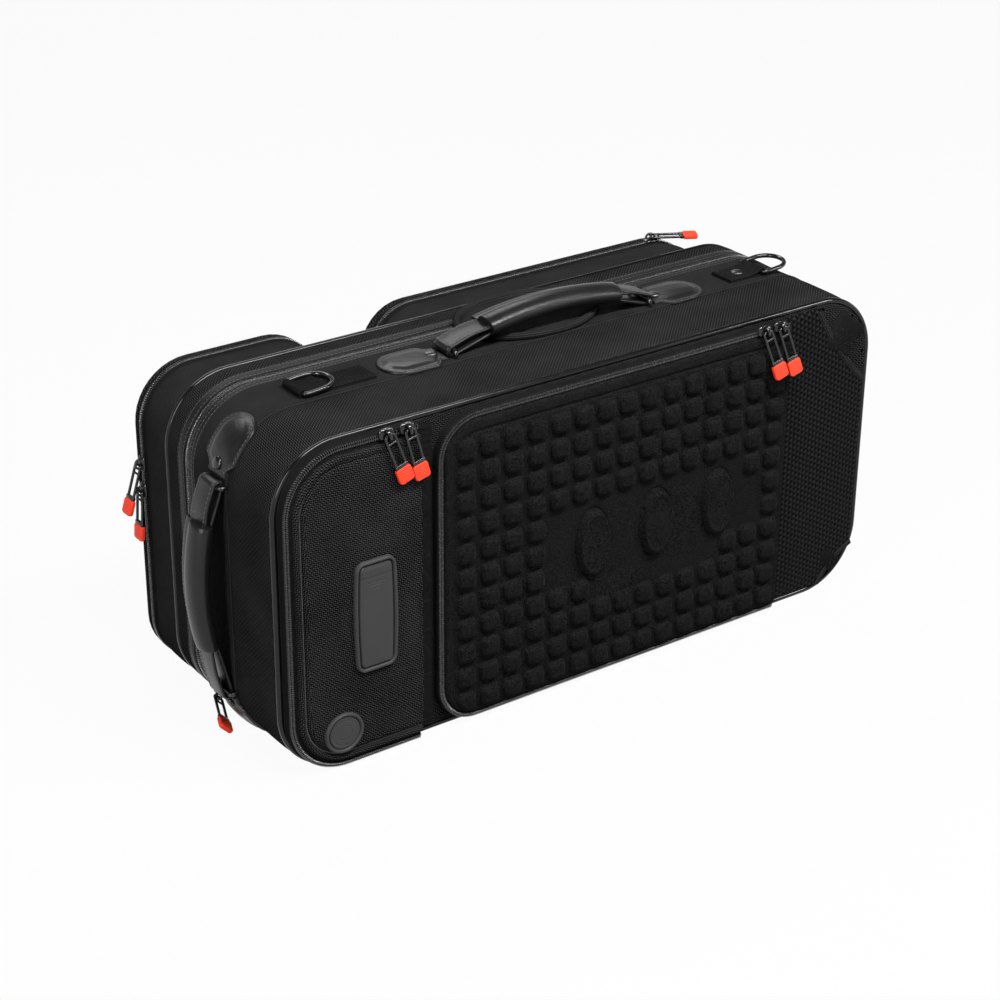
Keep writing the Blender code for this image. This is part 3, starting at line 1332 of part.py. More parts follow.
def build_main_slider():
    angle = math.radians(MAIN_SLIDER_ANGLE)
    normal = (math.cos(angle), 0, math.sin(angle))
    travel = (-math.sin(angle), 0, math.cos(angle))
    radius = CORNER_RADIUS + GAP
    centre_x, centre_z = CORNER_RADIUS - CASE_LENGTH / 2, CORNER_RADIUS
    seat_y = depth(ZIP_DEPTH - SLIDER_WIDTH / 2 - 2 * GAP)
    seat = (centre_x + radius * normal[0], seat_y, centre_z + radius * normal[2])
    carrier = axis_empty("main_slider_travel", (centre_x, seat_y, centre_z))
    zip_set("main", seat, travel, normal, (-MAIN_PULL_RUN_X, -MAIN_PULL_RUN_Y, -MAIN_PULL_DROP_Z), carrier)


def main():
    global parts, cutters
    clear_scene()
    parts = new_collection("trumpet_case")
    cutters = new_collection("cutters")
    build_base()
    build_bed()
    lid_hinge = build_lid()
    right_hinge, left_hinge = build_rear_pockets(lid_hinge)
    pocket_hinge = build_front_pocket_cover()
    pad_hinge = build_pad()
    build_front_gussets()
    build_column()
    build_mesh_panel()
    build_straps()
    build_handles()
    build_knuckle_pad()
    build_d_rings()
    build_front_sliders(pocket_hinge, pad_hinge)
    build_rear_sliders(right_hinge, left_hinge)
    build_main_slider()
    shade_round_pieces()


main()
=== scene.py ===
# Soft trumpet case: the looks. Lengths are in metres unless a name says otherwise.
import math

import bmesh
import bpy
import numpy as np
from mathutils import Matrix, Vector


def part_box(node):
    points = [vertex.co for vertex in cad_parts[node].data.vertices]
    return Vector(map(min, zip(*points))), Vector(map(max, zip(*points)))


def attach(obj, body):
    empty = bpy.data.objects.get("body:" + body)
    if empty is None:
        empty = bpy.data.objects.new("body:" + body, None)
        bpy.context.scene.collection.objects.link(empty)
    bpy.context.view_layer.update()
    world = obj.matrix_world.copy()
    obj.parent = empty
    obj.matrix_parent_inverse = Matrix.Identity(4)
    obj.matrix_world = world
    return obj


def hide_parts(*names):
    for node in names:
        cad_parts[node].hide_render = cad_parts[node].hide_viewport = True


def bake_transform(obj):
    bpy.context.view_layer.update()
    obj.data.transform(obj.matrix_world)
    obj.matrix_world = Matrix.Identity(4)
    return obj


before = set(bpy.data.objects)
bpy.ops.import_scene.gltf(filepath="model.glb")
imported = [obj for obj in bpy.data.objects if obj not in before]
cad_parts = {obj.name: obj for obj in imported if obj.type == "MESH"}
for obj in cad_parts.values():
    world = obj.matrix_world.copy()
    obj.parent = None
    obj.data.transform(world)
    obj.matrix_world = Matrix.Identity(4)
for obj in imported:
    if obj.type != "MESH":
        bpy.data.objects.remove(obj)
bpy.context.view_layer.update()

# Camera, found from the straight edges of the case in the photograph

view = {"azimuth": -35.66, "elevation": 26.29, "roll": 0.42, "lens": 84.9,
        "place": (-1.02815, -1.38741, 0.97655)}


def makeCamera():
    a, e, r = (math.radians(view[key]) for key in ("azimuth", "elevation", "roll"))
    back = Vector((math.sin(a) * math.cos(e), -math.cos(a) * math.cos(e), math.sin(e)))
    right = Vector((math.cos(a), math.sin(a), 0))
    up = back.cross(right)
    rolledRight = right * math.cos(r) + up * math.sin(r)
    rolledUp = up * math.cos(r) - right * math.sin(r)
    data = bpy.data.cameras.new("camera")
    data.lens = view["lens"]
    camera = bpy.data.objects.new("camera", data)
    bpy.context.scene.collection.objects.link(camera)
    matrix = Matrix((rolledRight, rolledUp, back)).transposed().to_4x4()
    matrix.translation = Vector(view["place"])
    camera.matrix_world = matrix
    bpy.context.scene.camera = camera


makeCamera()
print("camera made")

# The case in numbers: what several pieces share

case = {"cornerRadius": 0.056, "pipingRadius": 0.0025, "chamfer": 0.009, "wall": 0.0093,
        "gap": 0.0003, "spacing": 0.004, "faceSpacing": 0.006, "liningSpacing": 0.010}
shellLow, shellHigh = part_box("base_shell")
lidLow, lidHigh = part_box("lid_shell")
bandLow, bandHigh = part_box("handle_band")
frontY, rearY = shellLow.y, lidHigh.y
zipY = (shellHigh.y + lidLow.y) / 2
halfLength, caseHeight = shellHigh.x, shellHigh.z


# Shader sockets with arithmetic

class Wire:
    def __init__(self, tree, socket):
        self.tree = tree
        self.socket = socket

    def make(self, kind, settings=(), inputs=(), output=0):
        # Any other node: settings are its properties, inputs its sockets by number or name.
        node = self.tree.nodes.new(kind)
        for key, value in dict(settings).items():
            setattr(node, key, value)
        for key, value in dict(inputs).items():
            if isinstance(value, Wire):
                self.tree.links.new(value.socket, node.inputs[key])
            else:
                node.inputs[key].default_value = value
        return Wire(self.tree, node.outputs[output])

    def maths(self, operation, *others):
        inputs = {0: self}
        for index, other in enumerate(others):
            inputs[index + 1] = other
        return self.make("ShaderNodeMath", {"operation": operation}, inputs)

    def __add__(self, other):
        return self.maths("ADD", other)

    def __mul__(self, other):
        return self.maths("MULTIPLY", other)

    __radd__, __rmul__ = __add__, __mul__

    def __sub__(self, other):
        return self.maths("SUBTRACT", other)

    def __rsub__(self, other):
        return self.maths("MULTIPLY", -1.0) + other

    def __truediv__(self, other):
        return self.maths("DIVIDE", other)

    def sine(self):
        return self.maths("SINE")

    def clamp(self, low=0.0, high=1.0):
        return self.make("ShaderNodeClamp", {}, {"Value": self, "Min": low, "Max": high})

    def split(self):
        node = self.make("ShaderNodeSeparateXYZ", {}, {0: self})
        outputs = node.socket.node.outputs
        return [Wire(self.tree, outputs[index]) for index in range(3)]

    def noise(self, scale, detail=2.0, roughness=0.5):
        return self.make("ShaderNodeTexNoise", {}, {"Vector": self, "Scale": scale, "Detail": detail,
                                                    "Roughness": roughness})

    def colours(self, low, high):
        # A share from 0 to 1 as a colour between two.
        return self.make("ShaderNodeMix", {"data_type": "RGBA"},
                         {0: self, 6: (*low, 1.0), 7: (*high, 1.0)}, 2)

    def bump(self, distance, strength=1.0):
        return self.make("ShaderNodeBump", {}, {"Height": self, "Distance": distance,
                                                "Strength": strength})


class Finish:
    # A Principled material; its plain values are set on the shader's own sockets.
    def __init__(self, name, **values):
        self.material = bpy.data.materials.new(name)
        self.material.use_nodes = True
        self.tree = self.material.node_tree
        self.shader = self.tree.nodes["Principled BSDF"]
        for key, value in values.items():
            self.set(key, value)

    def set(self, key, value):
        socket = self.shader.inputs[key.replace("_", " ")]
        if isinstance(value, Wire):
            self.tree.links.new(value.socket, socket)
        elif isinstance(value, tuple):
            socket.default_value = (*value, 1.0)
        else:
            socket.default_value = value

    def coordinates(self, kind):
        node = self.tree.nodes.new("ShaderNodeTexCoord")
        return Wire(self.tree, node.outputs[kind])

    def surface(self, tone, height, settings):
        # The tone picks the colour between dark and light, and the height makes the relief.
        self.set("Base_Color", tone.colours(settings["dark"], settings["light"]))
        self.set("Normal", height.bump(settings["bump"]))
        return self.material


def grey(value, warmth=0.0):
    return (value * (1 + warmth), value, value * (1 - warmth))


# Materials. UV holds metres along and across each surface.

ballistic = {"pitch": 0.0030, "dark": grey(0.0004), "light": grey(0.0480), "bump": 0.00090,
             "roughness": 0.75, "specular": 0.0, "blotch": 24.0}


def wovenFinish(name, settings):
    # The shader, the places across the cloth, the turns of a wave in a metre, and slow blotches.
    finish = Finish(name, Roughness=settings["roughness"], Specular_IOR_Level=settings["specular"])
    u, v, _ = finish.coordinates("UV").split()
    blotch = finish.coordinates("Object").noise(settings["blotch"], 3.0)
    return finish, u, v, 2 * math.pi / settings["pitch"], blotch


def ballisticCloth():
    # Basket weave turned by 45 degrees: two families of waves along the diagonals, multiplied.
    finish, u, v, turns, blotch = wovenFinish("ballistic_cloth", ballistic)
    rising, falling = ((u + v) * turns).sine(), ((u - v) * (turns * 0.8)).sine()
    weave = rising * falling * 0.5 + 0.5
    rib = rising * 0.5 + 0.5
    height = weave * 0.7 + rib * 0.3
    # The colour is lighter on the raised yarns and darker between them. This is a painted highlight on the
    # yarn crests and painted shade between the yarns, laid over slow blotches of real tone.
    tone = (height * 1.6 + blotch * 0.4 - 0.75).clamp()
    return finish.surface(tone, height, ballistic)


canvasLook = {"pitch": 0.0019, "dark": grey(0.0014), "light": grey(0.0300), "bump": 0.00060,
              "roughness": 0.85, "specular": 0.0, "blotch": 40.0}


def canvasCloth(name="canvas", settings=canvasLook, ribs=1.0):
    # Plain weave: one wave along and one across, with the cross ribs a little stronger.
    finish, u, v, turns, blotch = wovenFinish(name, settings)
    along, across = (u * turns).sine(), (v * (turns * ribs)).sine()
    height = along * across * 0.3 + across * 0.2 + 0.5
    # The colour is lighter on the raised threads and darker between them. This is a painted highlight on the
    # thread crests and painted shade between the threads, laid over slow blotches of real tone.
    tone = (height * 1.3 + blotch * 0.4 - 0.35).clamp()
    return finish.surface(tone, height, settings)


velourLook = {"dark": grey(0.0005, 0.02), "light": grey(0.0190, 0.02), "pile": 1100.0, "nap": 60.0,
              "bump": 0.00090, "roughness": 0.85, "specular": 0.0, "sheen": 0.06}


def velourCloth(name="velour", settings=velourLook):
    # Short pile: fine noise for the hairs over slow noise where the nap lies one way or the other.
    finish = Finish(name, Roughness=settings["roughness"], Specular_IOR_Level=settings["specular"],
                    Sheen_Weight=settings["sheen"], Sheen_Roughness=0.35, Sheen_Tint=grey(0.30))
    where = finish.coordinates("Object")
    pile = where.noise(settings["pile"], 2.0)
    nap = where.noise(settings["nap"], 4.0, 0.65)
    tone = (pile * 2.1 + nap * 0.2 - 0.78).clamp()
    return finish.surface(tone, pile * 0.6 + nap * 0.4, settings)


leatherLook = {"dark": grey(0.0040), "light": grey(0.0100), "grain": 1100.0, "soft": 55.0,
               "bump": 0.00016, "roughness": 0.32, "spread": 0.16, "specular": 0.28}


def leatherLookCloth(name="leather", settings=leatherLook):
    # Fine cell grain, with the gloss broken up slowly by handling.
    finish = Finish(name, Specular_IOR_Level=settings["specular"])
    where = finish.coordinates("Object")
    cells = where.make("ShaderNodeTexVoronoi", {"feature": "SMOOTH_F1"},
                       {"Vector": where, "Scale": settings["grain"]})
    soft = where.noise(settings["soft"], 4.0, 0.6)
    finish.set("Roughness", soft * settings["spread"] + (settings["roughness"] - settings["spread"] / 2))
    return finish.surface(soft, cells * 0.8 + soft * 0.2, settings)


# One noise for colour, gloss and relief: its scale and detail, the two colours, roughness as
# (spread, least), the bump, and the shader's plain values.
grained = {
    # Smooth, with faint waves where it was drawn round its cord
    "vinyl": ((90.0, 3.0), (grey(0.0020), grey(0.0050)), (0.08, 0.10), 0.00012,
              {"Specular_IOR_Level": 0.30}),
    "zip_nylon": ((700.0, 2.0), (grey(0.0120), grey(0.0320)), (0.12, 0.20), 0.00006,
                  {"Specular_IOR_Level": 0.90}),
    # Lacquer, a little worn on its high spots
    "black_metal": ((300.0, 4.0, 0.6), (grey(0.0030), grey(0.0080)), (0.16, 0.10), 0.00004,
                    {"Specular_IOR_Level": 0.50}),
    "rivet_metal": ((420.0, 3.0), (grey(0.060), grey(0.110)), (0.15, 0.28), None, {"Metallic": 1.0}),
    "red_rubber": ((600.0, 3.0), ((0.640, 0.030, 0.010), (0.760, 0.046, 0.015)), (0.15, 0.42), 0.00005,
                   {"Specular_IOR_Level": 0.25}),
    "thread": ((2500.0, 1.0), (grey(0.035), grey(0.075)), None, 0.00008,
               {"Roughness": 0.6, "Sheen_Weight": 0.2}),
}


def grainedFinish(name):
    noise, colours, roughness, bump, values = grained[name]
    finish = Finish(name, **values)
    grain = finish.coordinates("Object").noise(*noise)
    finish.set("Base_Color", grain.colours(*colours))
    if roughness:
        finish.set("Roughness", grain * roughness[0] + roughness[1])
    if bump:
        finish.set("Normal", grain.bump(bump))
    return finish.material


meshLook = {"pitch": 0.0042, "dark": grey(0.0001), "light": grey(0.0115), "bump": 0.0016,
            "roughness": 0.70}


def airMesh(name="air_mesh", settings=meshLook):
    # Rows of diamond holes: three waves at 60 degrees, whose common valleys are the holes.
    finish = Finish(name, Roughness=settings["roughness"], Specular_IOR_Level=0.05)
    u, v, _ = finish.coordinates("UV").split()
    turns = 2 * math.pi / settings["pitch"]
    first = (u * turns).sine()
    second = ((u * 0.5 + v * 0.866) * turns).sine()
    third = ((u * 0.5 - v * 0.866) * turns).sine()
    height = ((first * -1.0 + second + third) * 0.80 + 0.36).clamp()
    # The colour follows the height, so the holes are near black and the ridges lightest. This is painted
    # shade in the holes.
    return finish.surface(height, height, settings)


def mouldedPlastic(name="dark_plastic", low=0.024, high=0.036):
    finish = Finish(name, Specular_IOR_Level=0.15)
    where = finish.coordinates("Object")
    grain = where.noise(900.0, 3.0)
    slow = where.noise(40.0, 2.0)
    finish.set("Base_Color", (grain * 0.4 + slow * 0.6).colours(grey(low), grey(high)))
    finish.set("Roughness", grain * 0.14 + 0.36)
    finish.set("Normal", grain.bump(0.00006))
    return finish.material


def plushCloth(name="plush"):
    finish = Finish(name, Roughness=0.95, Sheen_Weight=0.5, Sheen_Roughness=0.4)
    where = finish.coordinates("Object")
    pile = where.noise(1100.0, 3.0)
    nap = where.noise(30.0, 3.0)
    finish.set("Base_Color", (pile * 0.5 + nap * 0.5).colours(grey(0.022), grey(0.060)))
    finish.set("Normal", pile.bump(0.0004))
    return finish.material


looks = {"ballistic_cloth": ballisticCloth(), "canvas": canvasCloth(), "velour": velourCloth(),
         "leather": leatherLookCloth(), "air_mesh": airMesh(), "plush": plushCloth(),
         "dark_plastic": mouldedPlastic(), **{name: grainedFinish(name) for name in grained}}
looks["zip_tape"] = canvasCloth("zip_tape", dict(canvasLook, pitch=0.0010, dark=grey(0.0030),
                                                 light=grey(0.0170)))
looks["trim_leather"] = leatherLookCloth("trim_leather", dict(leatherLook, specular=0.10, roughness=0.36))
looks["webbing"] = canvasCloth("webbing", dict(canvasLook, pitch=0.0016, bump=0.00035, light=grey(0.016)),
                               1.6)
print("materials made")


# Meshes from numpy grids

class Cloth:
    # Collects grids and copied shapes, then makes them one piece. It can start with some grids.
    def __init__(self, *surfaces):
        self.points = []
        self.uvs = []
        self.faces = []
        self.count = 0
        for surface in surfaces:
            self.grid(*surface)

    def add(self, points, faces, uvs=None):
        points = np.asarray(points, float).reshape(-1, 3)
        if uvs is None:
            uvs = points[:, [0, 2]]
        self.points.append(points)
        self.uvs.append(np.asarray(uvs, float).reshape(-1, 2))
        for group in faces:
            self.faces.extend((np.asarray(group) + self.count).tolist())
        self.count += len(points)

    def grid(self, points, uvs=None):
        # points is rows by columns by 3. A closed surface repeats its first row or column.
        rows, columns = points.shape[:2]
        row, column = np.meshgrid(np.arange(rows - 1), np.arange(columns - 1), indexing="ij")
        first = (row * columns + column).ravel()
        quads = np.stack([first, first + 1, first + columns + 1, first + columns], 1)
        self.add(points, [quads], uvs)

    def fan(self, ring):
        # Closes a ring of points with one face.
        ring = np.asarray(ring)
        self.add(ring, [[list(range(len(ring)))]])

    def tube(self, rings, uvs=None, capped=True):
        # A grid of closed rings, with a face over each end.
        self.grid(rings, uvs)
        if capped:
            self.fan(rings[0, :-1])
            self.fan(rings[-1, :-1][::-1])

    def copies(self, shape, faces, turns, places):
        # The same small shape many times: turns is n by 3 by 3, places n by 3.
        moved = np.einsum("nij,kj->nki", turns, shape) + places[:, None, :]
        step = np.arange(len(places))[:, None, None] * len(shape)
        groups = [(np.asarray(group)[None] + step).reshape(-1, len(group[0])) for group in faces]
        self.add(moved, groups)

    def piece(self, name, look, body, replaced=(), facing=None, closed=False, crease=40.0, slotted=True):
        mesh = bpy.data.meshes.new(name)
        points = np.concatenate(self.points)
        mesh.from_pydata(points.tolist(), [], self.faces)
        layer = mesh.uv_layers.new(name="metres")
        index = np.empty(len(mesh.loops), np.int64)
        mesh.loops.foreach_get("vertex_index", index)
        layer.data.foreach_set("uv", np.concatenate(self.uvs)[index].ravel())
        work = bmesh.new()
        work.from_mesh(mesh)
        bmesh.ops.remove_doubles(work, verts=work.verts, dist=1e-6)
        if closed:
            bmesh.ops.recalc_face_normals(work, faces=work.faces)
        work.to_mesh(mesh)
        work.free()
        if facing is not None:
            turnFaces(mesh, facing)
        mesh.shade_smooth()
        mesh.set_sharp_from_angle(angle=math.radians(crease))
        mesh.materials.append(looks[look])
        item = bpy.data.objects.new(name, mesh)
        bpy.context.scene.collection.objects.link(item)
        if body:
            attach(item, body)
        if replaced:
            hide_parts(*replaced)
        return item


def turnFaces(mesh, facing):
    # Turns the faces so that most look away from a point inside.
    count = len(mesh.polygons)
    normals, centres, areas = np.empty(count * 3), np.empty(count * 3), np.empty(count)
    mesh.polygons.foreach_get("normal", normals)
    mesh.polygons.foreach_get("center", centres)
    mesh.polygons.foreach_get("area", areas)
    away = centres.reshape(-1, 3) - np.asarray(facing)
    if ((normals.reshape(-1, 3) * away).sum(1) * areas).sum() < 0:
        mesh.flip_normals()


def ripple(a, b, seed, length=0.09, size=1.0):
    # Slow unevenness of cloth: a few waves of random direction and phase, from -size to size.
    random = np.random.default_rng(seed)
    total = np.zeros(np.broadcast(a, b).shape)
    for _ in range(5):
        angle, phase = random.uniform(0, 2 * math.pi, 2)
        turns = 2 * math.pi / (length * random.uniform(0.5, 1.5))
        total += np.sin((a * math.cos(angle) + b * math.sin(angle)) * turns + phase)
    return total / 5 * size


def smoothStep(value):
    value = np.clip(value, 0, 1)
    return value * value * (3 - 2 * value)


def walked(points):
    # The length walked along a line up to each of its points.
    return np.concatenate([[0], np.cumsum(np.linalg.norm(np.diff(points, axis=0), axis=1))])


def alongLine(values, lengths, wanted):
    # Values given at some lengths along a line, read between them at others.
    return np.stack([np.interp(wanted, lengths, column) for column in values.T], -1)


def units(vectors):
    return vectors / np.linalg.norm(vectors, axis=1)[:, None]


def squared(outs, tangents):
    # Outward directions turned square to the tangents.
    return units(outs - tangents * (outs * tangents).sum(1)[:, None])


def xyz(x, y, z):
    return np.stack(np.broadcast_arrays(x, y, z), -1)


def uvGrid(along, across):
    return np.stack(np.broadcast_arrays(along[:, None], across[None, :]), -1)


# Paths round rounded rectangles in the X, Z plane, and what is swept along them

def outline(low, high, radii, spacing, openRight=False):
    # Walks a rounded rectangle against the clock as seen from the front. radii are left and
    # right. It returns the points, their outward directions and the length walked.
    (left, bottom), (right, top) = low, high
    leftRadius, rightRadius = radii
    points, normals = [], []

    def straight(start, stop, normal):
        count = max(int(round(math.dist(start, stop) / spacing)), 1)
        for share in np.arange(count) / count:
            points.append([start[0] + (stop[0] - start[0]) * share, start[1] + (stop[1] - start[1]) * share])
            normals.append(normal)

    def corner(x, z, radius, start):
        count = max(int(round(radius * math.pi / 2 / spacing)), 6)
        for angle in np.radians(start + 90 * np.arange(count) / count):
            points.append([x + radius * math.cos(angle), z + radius * math.sin(angle)])
            normals.append([math.cos(angle), math.sin(angle)])

    straight((right - rightRadius, top), (left + leftRadius, top), [0, 1])
    corner(left + leftRadius, top - leftRadius, leftRadius, 90)
    straight((left, top - leftRadius), (left, bottom + leftRadius), [-1, 0])
    corner(left + leftRadius, bottom + leftRadius, leftRadius, 180)
    straight((left + leftRadius, bottom), (right - rightRadius, bottom), [0, -1])
    if openRight:
        points.append([right, bottom])
        normals.append([0, -1])
    else:
        corner(right - rightRadius, bottom + rightRadius, rightRadius, 270)
        straight((right, bottom + rightRadius), (right, top - rightRadius), [1, 0])
        corner(right - rightRadius, top - rightRadius, rightRadius, 0)
        points.append(points[0])
        normals.append(normals[0])
    points, normals = np.array(points), np.array(normals, float)
    return points, normals, walked(points)


caseBox = ((-halfLength, 0.0), (halfLength, caseHeight), (case["cornerRadius"], case["cornerRadius"]))


casePath = outline(*caseBox, case["spacing"])


def swept(path, profile, unevenness=0.0, seed=1):
    # A surface along a path: profile is a list of (outset, y). Unevenness fades at both edges.
    points, normals, length = path
    profile = np.array(profile)
    across = walked(profile)
    outset = profile[None, :, 0] + np.zeros((len(points), 1))
    if unevenness:
        fade = np.sin(np.pi * np.clip(across / across[-1], 0, 1)) ** 0.7
        outset = outset + ripple(length[:, None], across[None, :], seed) * fade * unevenness
    x = points[:, None, 0] + normals[:, None, 0] * outset
    z = points[:, None, 1] + normals[:, None, 1] * outset
    return xyz(x, profile[None, :, 1], z), uvGrid(length, across)


def bulged(low, high, outset, bulge, steps=8):
    # A strip's profile from one y to another, raised along its middle.
    shares = np.arange(steps + 1) / steps
    return [(outset + bulge * (1 - (2 * share - 1) ** 4), low + (high - low) * share) for share in shares]


def onPath(path, outset, y):
    # The path as points in space, moved outwards, with its outward directions.
    points, normals, _ = path
    moved = points + normals * outset
    return xyz(moved[:, 0], y, moved[:, 1]), xyz(normals[:, 0], 0.0, normals[:, 1])


def evenly(places, outs, spacing, margin=0.0):
    # Places at equal distances along a line in space, with outs carried along and the tangents.
    length = walked(places)
    total = length[-1] - 2 * margin
    count = max(int(total / spacing), 1)
    wanted = margin + total * (np.arange(count) + 0.5) / count
    before, after = (alongLine(places, length, wanted + step) for step in (-spacing / 4, spacing / 4))
    tangents = units(after - before)
    return alongLine(places, length, wanted), tangents, squared(alongLine(outs, length, wanted), tangents)


def tubeAlong(cloth, places, outs, radius, sides=12, flat=1.0, capped=True):
    # A round cord; flat squeezes it along the outward direction.
    places, outs = np.asarray(places, float), np.asarray(outs, float)
    tangents = units(np.gradient(places, axis=0))
    outs = squared(outs, tangents)
    sideways = np.cross(tangents, outs)
    turns = np.linspace(0, 2 * math.pi, sides + 1)
    ring = (outs[:, None] * np.cos(turns)[None, :, None] * flat
            + sideways[:, None] * np.sin(turns)[None, :, None])
    cloth.tube(places[:, None] + ring * radius, uvGrid(walked(places), turns * radius), capped)


# A small rounded bump: rings of six points that narrow upwards, used for teeth and stitches
bumpRings = ((1.0, 0.0), (0.92, 0.55), (0.55, 1.0))
bumpTurns = np.radians(np.arange(6) * 60.0)
bumpShape = np.array([(math.cos(turn) * wide, math.sin(turn) * wide, high)
                      for wide, high in bumpRings for turn in bumpTurns])
bumpFaces = ([[ring * 6 + side, ring * 6 + (side + 1) % 6, ring * 6 + 6 + (side + 1) % 6, ring * 6 + 6 + side]
              for ring in range(2) for side in range(6)], [[12, 13, 14, 15, 16, 17]])


def bumps(cloth, places, along, out, length, width, height, slant=0.0, offset=0.0):
    # One bump at each place: long in one direction, which slant turns across it.
    across = np.cross(out, along)
    direction = along * math.cos(slant) + across * math.sin(slant)
    sideways = np.cross(out, direction)
    turns = xyz(direction * length / 2, sideways * width / 2, out * height)
    cloth.copies(bumpShape, bumpFaces, turns, places + across * offset)


stitch = {"length": 0.0026, "width": 0.00065, "height": 0.00035, "pitch": 0.0036}


def stitches(name, lines, body, look="thread", settings=stitch):
    # Rows of stitches as one piece. Each line is (places, outs).
    cloth = Cloth()
    for places, outs in lines:
        where, along, out = evenly(np.asarray(places), np.asarray(outs), settings["pitch"])
        bumps(cloth, where, along, out, settings["length"], settings["width"], settings["height"])
    return cloth.piece(name, look, body, slotted=False)


def frontRow(x, y, z):
    # A line of stitches on a face that looks to the front.
    places = xyz(x, y, z)
    return places, np.tile([0.0, -1.0, 0.0], (len(places), 1))


teeth = {"pitch": 0.0018, "length": 0.0030, "width": 0.00125, "height": 0.00105, "slant": 1.05,
         "offset": 0.00105}


def teethRow(cloth, places, outs, side, offset=0.0, reach=math.inf):
    # The slanting teeth of one half of a zip, as far to the right as reach. Both halves together
    # make the herringbone of a closed coil.
    where, along, out = evenly(places, outs, teeth["pitch"])
    zipped = where[:, 0] < reach
    bumps(cloth, where[zipped], along[zipped], out[zipped], teeth["length"], teeth["width"],
          teeth["height"], side * teeth["slant"], offset)


def cornerOffsets(x, z, low, high, radii):
    # How far a point is beyond the middle of the nearest corner's arc, both ways, with that
    # corner's radius and the side of the middle on which it lies.
    (left, bottom), (right, top) = low, high
    fromX, fromZ = x - (left + right) / 2, z - (bottom + top) / 2
    radius = np.where(fromX < 0, radii[0], radii[1])
    qx = np.abs(fromX) - (right - left) / 2 + radius
    qz = np.abs(fromZ) - (top - bottom) / 2 + radius
    return qx, qz, radius, np.sign(fromX), np.sign(fromZ)


def rectangleDistance(x, z, low, high, radii):
    # How far a point is inside a rounded rectangle whose left and right corners have two radii.
    qx, qz, radius, _, _ = cornerOffsets(x, z, low, high, radii)
    outside = np.hypot(np.maximum(qx, 0), np.maximum(qz, 0))
    return radius - (outside + np.minimum(np.maximum(qx, qz), 0))


def flapGrid(low, high, radii, spacing):
    # Columns from right to left that follow the rounded ends, each the same number of points
    # from top to bottom.
    (left, bottom), (right, top) = low, high
    leftRadius, rightRadius = radii
    turnsRight = np.radians(np.linspace(0, 90, max(int(rightRadius * 1.57 / spacing), 1) + 1))
    turnsLeft = np.radians(np.linspace(90, 180, max(int(leftRadius * 1.57 / spacing), 1) + 1))
    count = max(int((right - left - leftRadius - rightRadius) / spacing), 2)
    x = np.concatenate([right - rightRadius + rightRadius * np.cos(turnsRight[:-1]),
                        np.linspace(right - rightRadius, left + leftRadius, count + 1)[:-1],
                        left + leftRadius + leftRadius * np.cos(turnsLeft)])
    fall = np.concatenate([rightRadius * (1 - np.sin(turnsRight[:-1])), np.zeros(count),
                           leftRadius * (1 - np.sin(turnsLeft))])
    share = np.linspace(0, 1, max(int((top - bottom) / spacing), 2) + 1)
    z = (top - fall)[:, None] + ((bottom + fall) - (top - fall))[:, None] * share[None, :]
    return x[:, None] + np.zeros_like(z), z


def insetBox(low, high, radii, inset, openRight=False):
    # A rounded rectangle inside another. An open right edge stays where it is.
    right = 0.0 if openRight else inset
    return ((low[0] + inset, low[1] + inset), (high[0] - right, high[1] - inset),
            (max(radii[0] - inset, 0.0), max(radii[1] - right, 0.0)))


def flatFace(low, high, radii, inset, y, spacing, openRight=False):
    x, z = flapGrid(*insetBox(low, high, radii, inset, openRight), spacing)
    return (xyz(x, y, z),)


def flapEdge(x, z, low, high, radii, openRight):
    # The grid's outer points as a path like outline's, so that a rim welds to it.
    top = np.stack([x[:, 0], z[:, 0]], 1)
    side = np.stack([x[-1, 1:], z[-1, 1:]], 1)
    bottom = np.stack([x[-2::-1, -1], z[-2::-1, -1]], 1)
    points = np.concatenate([top, side, bottom])
    if not openRight:
        points = np.concatenate([points, np.stack([x[0, -2::-1], z[0, -2::-1]], 1)])
    qx, qz, _, signX, signZ = cornerOffsets(points[:, 0], points[:, 1], low, high, radii)
    inCorner = (qx > 1e-7) & (qz > 1e-7)
    sideways = ~inCorner & (qx > qz + 1e-7)
    nx = np.where(inCorner, qx, sideways.astype(float)) * signX
    nz = np.where(inCorner, qz, (~sideways).astype(float)) * signZ
    return points, units(np.stack([nx, nz], 1)), walked(points)


def flap(cloth, low, high, radii, rim, heightOf, plane, side, spacing, openRight=False):
    # A shaped face with a swept rim. rim is (inset, height) from the outer edge to the seam;
    # heights are measured from the plane, towards -y for side -1 and +y for side 1.
    seam, crest = rim[-1]
    inner = insetBox(low, high, radii, seam, openRight)
    x, z = flapGrid(*inner, spacing)
    height = crest + heightOf(x, z)
    cloth.grid(xyz(x, plane + side * height, z))
    path = flapEdge(x, z, *inner, openRight)
    cloth.grid(*swept(path, [(seam - inset, plane + side * out) for inset, out in rim]))


def corners(node):
    # A node's box as the low and high (x, z) corners.
    low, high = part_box(node)
    return (low.x, low.z), (high.x, high.z)


# Base half

baseLook = {"puff": 0.0011, "unevenness": 0.0005, "bandEdge": 0.0006, "bandSag": 0.0005}
clothEnd = bandLow.y - case["gap"]


